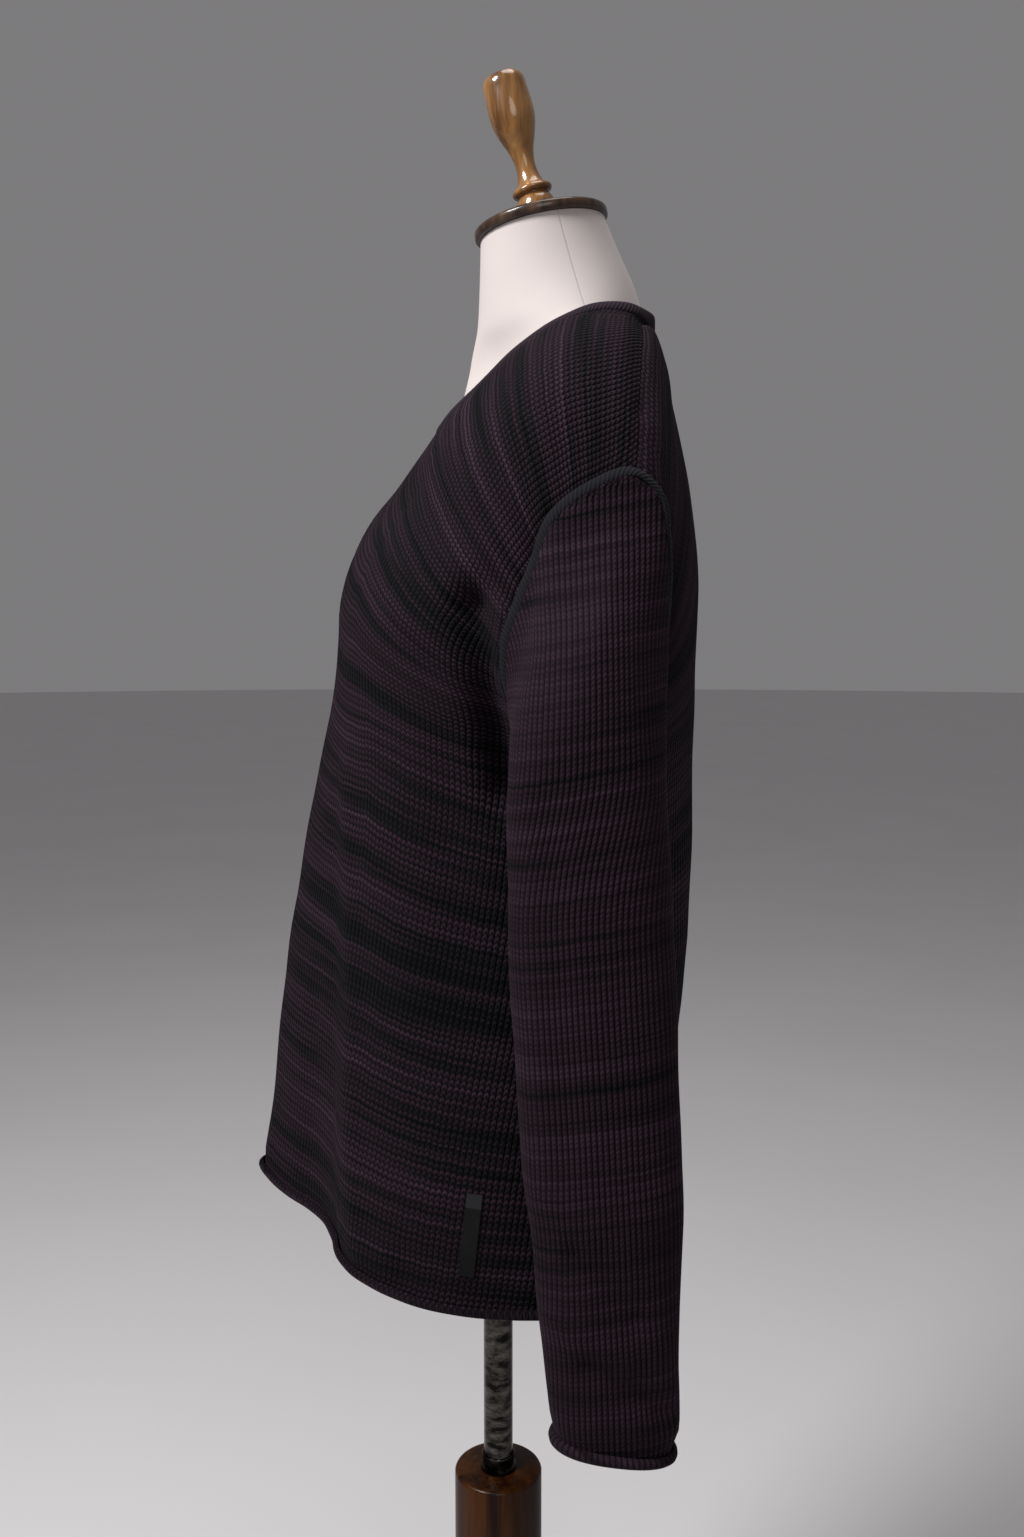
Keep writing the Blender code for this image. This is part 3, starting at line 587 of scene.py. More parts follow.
def folded(points, folds):
    """How far each point moves along its normal for the given folds."""
    moved = np.zeros(points.shape[:2])
    for fold in folds:
        start, end = np.array(fold.start) / 1000, np.array(fold.end) / 1000
        line = end - start
        share = ((points - start) @ line) / (line @ line)
        nearest = start + np.clip(share, 0, 1)[..., None] * line
        distance = np.linalg.norm(points - nearest, axis=2)
        moved += fold.height / 1000 * np.exp(-((distance / (fold.width / 1000)) ** 2))
    return moved


def rumpled(points, reach, size):
    """An even soft unevenness: reach is its height and size the length of one swell."""
    flat = points.reshape(-1, 3) / size
    swells = np.array([noise.noise(Vector(point)) for point in flat])
    return swells.reshape(points.shape[:2]) * reach


def reckon(tree, operation, *values):
    """A Math node over numbers and sockets; its result is handed back."""
    return add_node(tree, "Math", dict(enumerate(values)), operation=operation).outputs[0]


def threads(tree, way, pitch):
    """A swell from -1 to 1 and back with each pitch along the way."""
    return reckon(tree, "SINE", reckon(tree, "MULTIPLY", way, 2 * math.pi / pitch))


def waves(tree, turns):
    """A swell from 0 to 1 and back with each whole turn."""
    return reckon(tree, "ADD", 0.5, reckon(tree, "MULTIPLY", threads(tree, turns, 1), 0.5))


def chance(tree, number):
    """A random value from 0 to 1 for each whole number."""
    return add_node(tree, "TexWhiteNoise", {"W": number}, noise_dimensions="1D").outputs["Value"]


def ramped(tree, share, stops):
    """The colour at a share of a ramp through places and their colours."""
    ramp = add_node(tree, "ValToRGB", {"Fac": share})
    tints = ramp.color_ramp.elements
    while len(tints) < len(stops):
        tints.new(0.5)
    for tint, (place, colour) in zip(tints, stops):
        tint.position = place
        tint.color = (*colour, 1)
    return ramp.outputs["Color"]


def raised(tree, shader, height, distance, strength=1.0):
    """Let a height from 0 to 1 lift the surface by up to a distance."""
    bump = add_node(tree, "Bump", {"Height": height, "Distance": distance, "Strength": strength})
    set_inputs(tree, shader, {"Normal": bump.outputs["Normal"]})


def new_group(name, inputs, outputs):
    """A node group with the given sockets; its tree, entries and exits are handed back."""
    tree = bpy.data.node_groups.new(name, "ShaderNodeTree")
    for in_out, sockets in (("INPUT", inputs), ("OUTPUT", outputs)):
        for socket, kind in sockets.items():
            tree.interface.new_socket(socket, in_out=in_out, socket_type="NodeSocket" + kind)
    return tree, tree.nodes.new("NodeGroupInput").outputs, tree.nodes.new("NodeGroupOutput")


def use_group(tree, name, inputs):
    """The results of a node group for the given inputs."""
    return add_node(tree, "Group", inputs, node_tree=bpy.data.node_groups[name]).outputs


def knit_map(tree):
    """The piece's own map, with the way across the wales and the way up the courses."""
    place = add_node(tree, "UVMap", uv_map="knit").outputs[0]
    split = add_node(tree, "SeparateXYZ", {0: place}).outputs
    return place, split["X"], split["Y"]


COURSE_HEIGHT = 0.0017
RIB_OFFSET = 0.0010             # neighbouring ribs meet a colour change up to this much apart
CREST_STEEPNESS = 2.6
LEG_SLANT = 0.9                 # stitches that a leg rises from a rib's top to its foot
YARN_TINTS = (
    (0.38, (0.0026, 0.0028, 0.0040)),
    (0.42, (0.0056, 0.0050, 0.0070)),
    (0.46, (0.0140, 0.0080, 0.0120)),
    (0.54, (0.0235, 0.0125, 0.0190)),
    (0.62, (0.0370, 0.0205, 0.0310)),
)
# Painted shade: a dark slate tint multiplied into the yarn colour in the furrows between ribs and
# between the stitch legs.
PAINTED_FURROW_SHADE = (0.10, 0.12, 0.16, 1)

# The dye's streaks: how long and high each is, and its share of the tone. The first is dyed
# course by course, and has no height of its own.
Streak = namedtuple("Streak", "length height detail offset share")
YARN_STREAKS = (
    Streak(0.110, None, 1.5, None, 0.24),
    Streak(0.240, 0.0062, 1.5, 5.0, 0.26),
    Streak(0.380, 0.0170, 2.0, 3.0, 0.30),
    Streak(0.900, 0.0560, 1.0, 11.0, 0.20),
)
COURSE_LIKENESS = 0.73          # below 1, so that neighbouring courses share some of their tone
COURSE_SHIFT = 9                # courses start up to this many streaks apart


def yarn_colours():
    """The space-dyed yarn as a node group: its tone changes in streaks along each course, and the
    stitches' painted shade darkens it.
    """
    names = ("Wale", "Course", "Shade", "Contrast", "Tone")
    tree, entry, leave = new_group("space-dyed yarn and painted shade", dict.fromkeys(names, "Float"), {"Color": "Color"})
    maths = partial(reckon, tree)
    row = maths("FLOOR", maths("DIVIDE", entry["Course"], COURSE_HEIGHT))
    tone = 0.0
    for streak in YARN_STREAKS:
        if streak.height:
            level, offset = maths("DIVIDE", entry["Course"], streak.height), streak.offset
        else:
            level = maths("MULTIPLY", row, COURSE_LIKENESS)
            offset = maths("MULTIPLY", chance(tree, row), COURSE_SHIFT)
        along = maths("ADD", maths("DIVIDE", entry["Wale"], streak.length), offset)
        spot = add_node(tree, "CombineXYZ", {"X": along, "Y": level}).outputs[0]
        streaks = clouds(tree, spot, detail=streak.detail, dimensions="2D")
        tone = maths("ADD", tone, maths("MULTIPLY", streaks, streak.share))
    tone = maths("MULTIPLY", maths("SUBTRACT", tone, 0.5), entry["Contrast"])
    dyed = ramped(tree, maths("ADD", tone, entry["Tone"]), YARN_TINTS)
    # The Shade input is painted shade: the yarn is multiplied darker in the furrows and between the
    # stitch legs.
    set_inputs(tree, leave, {"Color": blend(tree, entry["Shade"], dyed, PAINTED_FURROW_SHADE, "MULTIPLY")})


def stitch_relief():
    """The stitches as a node group: slanted yarn legs on each rib, and the painted shade in the furrows
    and between the legs.
    """
    names = ("Wale", "Course", "Rib", "Stitch", "Furrow Shade", "Dash Shade")
    tree, entry, leave = new_group(
        "rib stitches", dict.fromkeys(names, "Float"), {"Height": "Float", "Shade": "Float"},
    )
    maths = partial(reckon, tree)
    across = maths("FRACT", maths("DIVIDE", entry["Wale"], entry["Rib"]))
    side = maths("ABSOLUTE", maths("SUBTRACT", across, 0.5))
    crest = maths("MINIMUM", 1.0, maths("MULTIPLY", maths("SUBTRACT", 0.5, side), CREST_STEEPNESS))
    stitch = maths("DIVIDE", entry["Course"], entry["Stitch"])
    leg = waves(tree, maths("ADD", stitch, maths("MULTIPLY", side, LEG_SLANT)))
    rise = maths("SINE", maths("MULTIPLY", crest, math.pi / 2))
    # Painted shade: darker in the furrows between the ribs and between the stitch legs.
    furrow_painted_shade = maths("MULTIPLY", maths("SUBTRACT", 1.0, crest), entry["Furrow Shade"])
    leg_painted_shade = maths("MULTIPLY", maths("SUBTRACT", 1.0, leg), entry["Dash Shade"])
    set_inputs(tree, leave, {
        "Height": maths("ADD", maths("MULTIPLY", leg, rise), rise),
        "Shade": maths("MAXIMUM", furrow_painted_shade, leg_painted_shade),
    })


def knit_material(name, rib, stitch, contrast, tone, furrow, dash_shade, relief):
    """Ribbed space-dyed knit that follows the piece's own map of wales and courses, darkened by painted
    shade in its furrows and between its stitch legs.
    """
    material, tree, shader = new_material(name, (0.03, 0.017, 0.024), 0.82)
    maths = partial(reckon, tree)
    _, wale, height = knit_map(tree)
    shift = maths("MULTIPLY", chance(tree, maths("FLOOR", maths("DIVIDE", wale, rib))), RIB_OFFSET)
    course = maths("ADD", height, shift)
    # The stitches' Shade output is painted shade laid into the yarn colour.
    stitches = use_group(tree, "rib stitches", {
        "Wale": wale, "Course": course, "Rib": rib, "Stitch": stitch, "Furrow Shade": furrow, "Dash Shade": dash_shade,
    })
    yarn = use_group(tree, "space-dyed yarn and painted shade", {
        "Wale": wale, "Course": course, "Shade": stitches["Shade"], "Contrast": contrast, "Tone": tone,
    })
    raised(tree, shader, stitches["Height"], relief, 0.6)
    set_inputs(tree, shader, {
        "Base Color": yarn["Color"], "Sheen Weight": 0.02, "Sheen Roughness": 0.45,
        "Sheen Tint": (0.75, 0.62, 0.72, 1), "Specular IOR Level": 0.06,
    })
    return material


yarn_colours()
stitch_relief()
# furrow and dash set how strong the painted shade is in the furrows and between the stitch legs.
body_knit = knit_material(
    "body rib knit", BODY_RIB, stitch=0.0044, contrast=1.0, tone=0.495, furrow=0.45, dash_shade=1.0,
    relief=0.0009,
)


RUMPLE_HEIGHT = 0.0016          # the cloth's even unevenness, and the length of one swell of it
RUMPLE_SWELL = 0.055
CALM_REACH = 0.015              # it fades to a fifth beside an edge
CALM_LEAST = 0.2
SWAYS_PER_METRE = 18            # a rolled edge is uneven in its hole and its turn
HOLE_SWAY = 0.22
TURN_SWAY = 0.1
EDGE_DRAW = 0.0022              # a rolled edge draws the cloth over it in
EDGE_DRAW_REACH = 0.009


def knit_wall(wales, fades, courses, folds, rib, height, hold=1.0, seam_dip=0.0, both_sides=False):
    """A ribbed wall with its rolled lower edge.

    fades are distances to the borders, hold is 0 where a fold is held, and seam_dip draws seams in.
    """
    points, normals = wales.points, wales.normals
    above_edge = np.linalg.norm(points - points[:1], axis=2)
    calm = np.clip(fades / CALM_REACH, CALM_LEAST, 1)
    rumples = rumpled(points, RUMPLE_HEIGHT, RUMPLE_SWELL) * calm
    moved = folded(points, folds) * hold + rumples - seam_dip
    moved = moved - EDGE_DRAW * np.exp(-((above_edge / EDGE_DRAW_REACH) ** 2))
    points = points + normals * moved[..., None]
    fade = np.clip(fades / RIB_FADE, 0, 1)
    ribs = (rib_profile(wales.places, rib) - 0.5) * height * fade
    outer = points + normals * ribs[..., None]
    inner = points - normals * CLOTH
    level = unit(normals[0] * np.array((1, 1, 0)))
    sway = np.array([noise.noise(Vector(point * SWAYS_PER_METRE)) for point in points[0]])
    holes, turns = ROLL_HOLE * (1 + HOLE_SWAY * sway), ROLL_TURN * (1 + TURN_SWAY * sway)
    roll, roll_normals = rolled_edge(outer[0], wales.rise, level, holes, turns)
    steps = ROLL_HOLE * ROLL_TURN / ROLL_STEPS
    roll_courses = courses[0] - steps * np.arange(ROLL_STEPS, 0, -1)[:, None]
    return grid_wall(
        np.vstack((roll, outer)), np.vstack((roll - roll_normals * CLOTH, inner)),
        np.vstack((np.repeat(wales.places[:1], ROLL_STEPS, axis=0), wales.places)),
        np.vstack((roll_courses, courses)), both_sides,
    )


FOLD_HOLD = 0.010               # folds die out over this length beside the armhole
BAND_DROP = 0.038               # the colour bands hang lower at the side than in front by this much
BAND_DROP_REACH = 0.15
BAND_DROP_HEIGHTS = (0, 0.15, 0.33, 0.47, 0.65, 0.85, 1)
BAND_DROP_SHARES = (0, 0.25, 0.6, 1, 1, 0.4, 0)
BAND_ARCH = 0.060               # half width over which the bands arch across the middle
BAND_ARCH_ROWS = 9              # rows below the neckline over which the arch begins
SEAM_DIP = 0.0010               # the linked side and shoulder seams lie a little low
SEAM_DIP_REACH = 0.004
SHOULDER_DIP = 0.0022
SHOULDER_DIP_REACH = 0.006
DIP_START = 0.02                # none of it at the hem, all of it this far up


def along_courses(grid):
    """Height of each row up the cloth, taken along the middle of the rows."""
    middle = grid[:, grid.shape[1] // 2]
    return travel(middle)


def build_panel(name, half, other, centre_rows, facing, seed):
    """A front or back panel; facing is -1 where its rows run the other way round the body."""
    neck_row = LOWER_ROWS - 1 + centre_rows
    fine = refined(half, neck_row, other[-2])
    across = refined(other, neck_row, half[-2])
    neck_fine, side_fine = neck_row * FINE_ROWS, (LOWER_ROWS - 1) * FINE_ROWS
    beside = across[:side_fine, -2]
    normals = surface_normals(fine, mirrored(fine[:, 1]), beside, across[-2])
    open_normals = surface_normals(fine, None, beside, across[-2])
    normals[neck_fine + 1:, 0] = open_normals[neck_fine + 1:, 0]
    normals = normals * facing
    edge, next_edge = fine[:side_fine + 1, -1], fine[:side_fine + 1, -2]
    fine[:side_fine + 1, -1] += SEAM_GAP * square_to(edge, next_edge - edge)
    fine[-1] += SEAM_GAP * square_to(fine[-1], fine[-2] - fine[-1])
    starts = [0.0]
    for row in range(1, len(fine)):
        along = fine[row - 1, 1] - fine[row - 1, 0]
        up = fine[row, 0] - fine[row - 1, 0]
        aside = max(0, up @ along / np.linalg.norm(along))
        starts.append(starts[-1] + aside if row > neck_fine else 0.0)
    wales = knitted(fine, normals, starts, BODY_RIB / RIB_POINTS)
    places, to_end = wales.places, wales.to_end
    inside = np.arange(len(fine))[:, None] <= neck_fine
    courses = along_courses(fine)
    to_hem = np.broadcast_to(courses[:, None], to_end.shape) * 0.5
    drop = BAND_DROP * np.interp(courses / courses[-1], BAND_DROP_HEIGHTS, BAND_DROP_SHARES)
    bands = courses[:, None] + seed - drop[:, None] * np.minimum(1, to_end / BAND_DROP_REACH)
    slope = -(unit(fine[:, 1] - fine[:, 0]) * unit(np.gradient(fine[:, 0], axis=0))).sum(axis=1)
    slope = slope * np.clip((neck_fine - np.arange(len(fine))) / BAND_ARCH_ROWS, 0, 1)
    bands = bands + slope[:, None] * (np.hypot(places, BAND_ARCH) - places)
    fades = np.minimum(np.where(inside, np.inf, wales.from_start), np.minimum(to_end, to_hem))
    below_shoulder = (courses[-1] - courses) / SHOULDER_DIP_REACH
    dip = SEAM_DIP * np.exp(-((to_end / SEAM_DIP_REACH) ** 2))
    dip = dip + SHOULDER_DIP * np.exp(-(below_shoulder ** 2))[:, None]
    dip = dip * np.clip(courses / DIP_START, 0, 1)[:, None]
    sewn_in = np.arange(len(fine))[:, None] > side_fine
    hold = np.where(sewn_in, np.clip(to_end / FOLD_HOLD, 0, 1), 1)
    bm = knit_wall(wales, fades, bands, BODY_FOLDS, BODY_RIB, RIB_HEIGHT, hold, dip, both_sides=True)
    return finish_mesh(bm, name, 60)


front_half, back_half = half_panels()
panels = {}
for name, half, other, centre_rows, facing, seed in (
    ("front_panel", front_half, back_half, CENTRE_ROWS, 1, 0.0),
    ("back_panel", back_half, front_half, BACK_CENTRE_ROWS, -1, 0.9),
):
    mesh = build_panel(name, half, other, centre_rows, facing, seed)
    panels[name] = add_piece(name + "_knit", mesh, body_knit, "form", (name,))


# Sleeves. Tubes of the same yarn in a finer, clearer rib, set into the armholes and hanging
# straight down; the cuff rolls like the hem. Above the underarm their courses end at the armhole.

SLEEVE_COLUMNS = 30
SLEEVE_ROWS = 15
SLEEVE_RIB = 0.00385
SLEEVE_RIB_HEIGHT = 0.0012
SLEEVE_BAND_SLOPE = 0.20        # the colour bands of the hanging sleeve rise towards its back
SLEEVE_YARN_START = 2.2         # where in the dye the left sleeve starts, and the right one past it
RIGHT_YARN_START = 0.63
SLEEVE_ROUNDNESS = 2.4
CUFF_FRONT_Z = 0.688
CUFF_BACK_Z = 0.677
SLEEVE_SET = 0.24               # share of the length over which the sleeve leaves the armhole's shape
TUBE_LEVELS = 52                # rows from the cuff to the underarm
CAP_LEVELS = 26                 # rows from the underarm to the top of the sleeve
ROW_SPREAD = 1.15               # above 1, so that the rings lie closer together at the armhole
BELOW_UNDERARM = 0.002          # the last closed row lies this far below the underarm
CAP_START = 0.004               # the open rows start this far above it
CAP_END = 0.0005                # and end this far below the top of the armhole
SleeveRow = namedtuple("SleeveRow", "z front back inner outer")
SLEEVE_SECTIONS = (
    SleeveRow(1340, 9, 106, 200, 240),
    SleeveRow(1220, 9, 111, 197, 260),
    SleeveRow(1100, 9, 115, 197, 264),
    SleeveRow(1000, 11, 120, 201, 267),
    SleeveRow(870, 20, 126, 212, 271),
    SleeveRow(760, 32, 124, 224, 276),
    SleeveRow(700, 39, 123, 227, 274),
    SleeveRow(660, 44, 120, 228, 271),
)
SLEEVE_FOLDS = (
    Fold((272, 52, 822), (272, 92, 782), 9, -5.0),             # slanting furrows above the cuff
    Fold((273, 40, 780), (274, 84, 750), 9, 4.0),
    Fold((274, 62, 750), (268, 112, 716), 9, -4.5),
    Fold((272, 38, 858), (274, 62, 838), 9, 3.0),
    Fold((262, 108, 760), (258, 118, 700), 10, 3.0),
    Fold((262, 14, 1130), (266, 26, 860), 12, 1.8),            # a long soft edge down the front
    Fold((264, 34, 1120), (268, 46, 880), 14, -1.8),
    Fold((262, 112, 1150), (266, 120, 900), 12, 1.2),
    Fold((232, 60, 1312), (226, 96, 1300), 9, -1.2),
)


def sleeve_section(height):
    """The sleeve's outline in plan at one height: from the body side round the front."""
    sections = metres(SLEEVE_SECTIONS)[::-1]
    front, back, inner, outer = read_off(height, sections[:, 0], sections[:, 1:])
    middle_x, half_x = (inner + outer) / 2, (outer - inner) / 2
    middle_y, half_y = (front + back) / 2, (back - front) / 2
    angles = np.linspace(math.pi, 3 * math.pi, 121)
    power = 2 / SLEEVE_ROUNDNESS
    x = middle_x + half_x * np.sign(np.cos(angles)) * np.abs(np.cos(angles)) ** power
    y = middle_y + half_y * np.sign(np.sin(angles)) * np.abs(np.sin(angles)) ** power
    outline = np.stack((x, y, np.full(len(x), height)), axis=1)
    return evenly(outline, SLEEVE_COLUMNS + 1)[:-1]


def hung_sleeve(loop):
    """Rings of the left sleeve from its cuff up to a line beside the armhole band."""
    cuff = sleeve_section(CUFF_BACK_Z)
    back_share = (cuff[:, 1] - cuff[:, 1].min()) / np.ptp(cuff[:, 1])
    cuff_heights = CUFF_FRONT_Z + (CUFF_BACK_Z - CUFF_FRONT_Z) * back_share
    rings = []
    for share in np.linspace(1, 0, SLEEVE_ROWS) ** ROW_SPREAD:
        heights = loop[:, 2] + (cuff_heights - loop[:, 2]) * share
        hang = min(1, share / SLEEVE_SET)
        hang = hang * hang * (3 - 2 * hang)
        sections = np.array([sleeve_section(height)[column] for column, height in enumerate(heights)])
        ring = loop + (sections - loop) * hang
        ring[:, 2] = heights
        rings.append(ring)
    return np.array(rings)


def sleeve_grid():
    """The sleeve's rings, their top standing off the armhole band."""
    band = evenly(np.vstack(armhole_loop()), SLEEVE_COLUMNS + 1)
    draft = hung_sleeve(band[:-1])
    hanging = np.vstack((draft[-3], draft[-3][:1])) - band
    hanging = square_to(band, hanging) + np.array((1, 0, 0))
    start = band + square_to(band, hanging) * (BAND_RADIUS + EDGE_GAP)
    return hung_sleeve(start[:-1])


def fine_sleeve():
    """The sleeve's rings cut finer, closed on themselves, with their outward normals."""
    grid = sleeve_grid()
    closed = [smooth_curve(np.vstack((row, row[:1])), row[-1], row[1], 5) for row in grid]
    closed = np.array(closed)
    columns = [smooth_curve(closed[:, index], fineness=4) for index in range(closed.shape[1])]
    fine = np.stack(columns, axis=1)
    padded = np.concatenate((fine[:, -2:-1], fine, fine[:, 1:2]), axis=1)
    return fine, surface_normals(padded)[:, 1:-1]


def sleeve_courses():
    """Rows of the sleeve at level heights: closed round the arm, then open above the underarm."""
    fine, normals = fine_sleeve()
    both = np.concatenate((fine, normals), axis=2)
    tops, cuffs = fine[-1, :, 2], fine[0, :, 2]
    underarm = tops.min() - BELOW_UNDERARM
    lines = []
    for share in np.linspace(0, 1, TUBE_LEVELS):
        heights = cuffs + (underarm - cuffs) * share
        lines.append(np.array([
            read_off(height, both[:, index, 2], both[:, index]) for index, height in enumerate(heights)
        ]))
    for height in np.linspace(underarm + CAP_START, tops.max() - CAP_END, CAP_LEVELS):
        inside = np.flatnonzero(tops > height)
        first, last = inside[0], inside[-1]
        line = [read_off(height, both[:, index, 2], both[:, index]) for index in inside]
        for index, outside, place in ((first, first - 1, 0), (last, last + 1, len(line))):
            outside %= len(tops)
            share = (height - tops[outside]) / (tops[index] - tops[outside])
            line.insert(place, both[-1, outside] + (both[-1, index] - both[-1, outside]) * share)
        lines.append(np.array(line))
    return [line[:, :3] for line in lines], [unit(line[:, 3:]) for line in lines]


def sleeve_starts(lines):
    """Where each row's first point lies sideways from the outermost wale."""
    middle_y = None
    starts = []
    for row, line in enumerate(lines):
        travelled = travel(line)
        if row < TUBE_LEVELS:
            starts.append(-travelled[-1] / 2)
            middle_y = np.interp(travelled[-1] / 2, travelled, line[:, 1])
            continue
        if line[0, 1] < middle_y < line[-1, 1]:
            outside = np.arange(len(line)) >= np.argmin(line[:, 1])
            starts.append(-np.interp(middle_y, line[outside, 1], travelled[outside]))
        else:
            along = lines[row - 1][1] - lines[row - 1][0]
            starts.append(starts[-1] + (line[0] - lines[row - 1][0]) @ along / np.linalg.norm(along))
    return starts


def build_sleeve():
    """The left sleeve's ribbed wall."""
    lines, normals = sleeve_courses()
    wales = knitted(lines, normals, sleeve_starts(lines), SLEEVE_RIB / RIB_POINTS)
    heights = np.array([line[:, 2].mean() for line in lines])
    courses = heights - heights[0]
    to_cuff = np.broadcast_to(courses[:, None], wales.to_end.shape) * 0.5
    fades = np.minimum(np.minimum(wales.from_start, wales.to_end), to_cuff)
    bands = courses[:, None] + SLEEVE_YARN_START - wales.points[:, :, 1] * SLEEVE_BAND_SLOPE
    bm = knit_wall(wales, fades, bands, SLEEVE_FOLDS, SLEEVE_RIB, SLEEVE_RIB_HEIGHT)
    return finish_mesh(bm, "left_sleeve", 60)


sleeve_knit = knit_material(
    "sleeve rib knit", SLEEVE_RIB, stitch=0.0034, contrast=0.7, tone=0.515, furrow=1.0, dash_shade=0.50,
    relief=0.0005,
)
left_mesh = build_sleeve()
right_mesh = left_mesh.copy()
right_mesh.name = "right_sleeve"
bm = bmesh.new()
bm.from_mesh(right_mesh)
bmesh.ops.scale(bm, vec=(-1, 1, 1), verts=bm.verts[:])
bmesh.ops.reverse_faces(bm, faces=bm.faces[:])
maps = bm.loops.layers.uv["knit"]
for face in bm.faces:
    for loop in face.loops:
        loop[maps].uv.y += RIGHT_YARN_START
bm.to_mesh(right_mesh)
bm.free()
for name, mesh in (("left_sleeve", left_mesh), ("right_sleeve", right_mesh)):
    sleeve = add_piece(name + "_knit", mesh, sleeve_knit, "form", (name,))


# Neck trim and armhole seams. The neckline is finished with a narrow plain roll, and each
# armhole is linked with a raised chain of darker yarn. Both are tubes along the garment's seams.

TRIM_LENGTHS = 220
TRIM_SIDES = 12
EVENING_PASSES = 8              # how often the band's way across is evened out along the seam
NECK_CHAIN = 0.0030             # length of one stitch along the trim
ARMHOLE_CHAIN = 0.0034
CHAIN_SLANT = 0.006             # a stitch slants by its own length over this width
NECK_TRIM_HALF = (0.0056, 0.0021)       # half width and half height of each band
ARMHOLE_BAND_HALF = (0.0046, 0.0021)


def towards(line, pieces):
    """Unit directions from each point of a line to the nearest point of the given pieces."""
    surfaces = [BVHTree.FromObject(piece, bpy.context.evaluated_depsgraph_get()) for piece in pieces]
    ways = []
    for point in line:
        hits = [surface.find_nearest(Vector(point)) for surface in surfaces]
        ways.append(np.array(min(hits, key=lambda hit: hit[3])[0]) - point)
    ways = np.array(ways)
    for _ in range(EVENING_PASSES):
        ways = (np.roll(ways, 1, axis=0) + 2 * ways + np.roll(ways, -1, axis=0)) / 4
    return unit(ways)


def tube_grid(line, pieces, width, height):
    """A closed band along a closed line, oval in section and lying flat beside the given pieces."""
    line = evenly(np.vstack((line, line[:1])), TRIM_LENGTHS + 1)
    padded = np.vstack((line[-2], line, line[1]))
    along = unit(padded[2:] - padded[:-2])
    across = towards(line[:-1], pieces)
    across = np.vstack((across, across[:1]))
    across = unit(across - (across * along).sum(axis=1)[:, None] * along)
    lift = np.cross(along, across)
    travelled = travel(line)
    angles = np.linspace(0, 2 * math.pi, TRIM_SIDES + 1)
    bm = bmesh.new()
    maps = bm.loops.layers.uv.new("knit")
    bmesh.ops.create_grid(bm, x_segments=TRIM_LENGTHS, y_segments=TRIM_SIDES, size=0.5)
    texture = {}
    for index, vert in enumerate(bm.verts):
        turn, step = divmod(index, TRIM_LENGTHS + 1)
        cosine, sine = math.cos(angles[turn]), math.sin(angles[turn])
        vert.co = line[step] + across[step] * cosine * width + lift[step] * sine * height
        texture[vert] = (angles[turn] * width, travelled[step])
    for face in bm.faces:
        for loop in face.loops:
            loop[maps].uv = texture[loop.vert]
    bmesh.ops.remove_doubles(bm, verts=bm.verts[:], dist=SAME_PLACE)
    bmesh.ops.recalc_face_normals(bm, faces=bm.faces[:])
    return bm


def neck_line():
    """The neckline all round, from the front middle past the left shoulder."""
    half = np.vstack((
        smooth_curve(metres(FRONT_NECKLINE), after=metres(BACK_NECKLINE)[1])[:-1],
        smooth_curve(metres(BACK_NECKLINE), before=metres(FRONT_NECKLINE)[-2]),
    ))
    return np.vstack((half, mirrored(half[::-1][1:-1])))


def chain_material(name, colour, dark, chain):
    """Linked yarn: slanted stitches along the seam over a mottled colour, with painted shade between
    the raised stitches.
    """
    material, tree, shader = new_material(name, colour, 0.85)
    maths = partial(reckon, tree)
    place, across, along = knit_map(tree)
    stitch, slant = maths("DIVIDE", along, chain), maths("DIVIDE", across, CHAIN_SLANT)
    high = waves(tree, maths("ADD", stitch, slant))
    # The colour follows the stitches' relief: painted shade between the raised stitches, mixed with the
    # yarn's own mottle.
    share = maths("MULTIPLY", maths("ADD", high, clouds(tree, place, 60, 3)), 0.55)
    raised(tree, shader, high, 0.0006, 0.7)
    set_inputs(tree, shader, {
        "Base Color": blend(tree, share, (*dark, 1), (*colour, 1)), "Sheen Weight": 0.02,
        "Specular IOR Level": 0.08,
    })
    return material


trim_yarn = chain_material("neck trim yarn", (0.022, 0.013, 0.020), (0.010, 0.007, 0.010), NECK_CHAIN)
seam_yarn = chain_material(
    "armhole seam yarn", (0.011, 0.010, 0.013), (0.003, 0.003, 0.004), ARMHOLE_CHAIN,
)
trim_mesh = finish_mesh(tube_grid(neck_line(), panels.values(), *NECK_TRIM_HALF), "neck_trim")
add_piece("neck_trim_roll", trim_mesh, trim_yarn, "form", ("neck_trim",))
for name, side in (("left_armhole_seam", 1), ("right_armhole_seam", -1)):
    line = np.vstack(armhole_loop())[:-1] * np.array((side, 1, 1))
    seam_mesh = finish_mesh(tube_grid(line, panels.values(), *ARMHOLE_BAND_HALF), name)
    add_piece(name + "_chain", seam_mesh, seam_yarn, "form", (name,))


# Side label. A narrow black woven tape stitched flat on the left side near the hem, left bare.
# It lies on the front panel's own surface; its top end is not folded in the mesh but painted lighter, a
# painted highlight where the real tape folds under and catches light.

LABEL_TOP = Place(200, -14, 838)
LABEL_WIDTH = 0.011
LABEL_LENGTH = 0.060
LABEL_LEAN = math.radians(6)
LABEL_ROWS = 24
LABEL_COLUMNS = 6
LABEL_PASSES = 12               # how often the tape is drawn flat between its edges
LABEL_LIFT = 0.0004
LABEL_THICKNESS = 0.0008
PAINTED_HIGHLIGHT_LENGTH = 0.010              # length of the top end painted lighter as a highlight
LABEL_WEFT = 0.0005             # pitch of its threads, across and along
LABEL_WARP = 0.0004
RAY_START = Vector((0.1, 0, 0))         # the label is laid on the cloth from this far outside


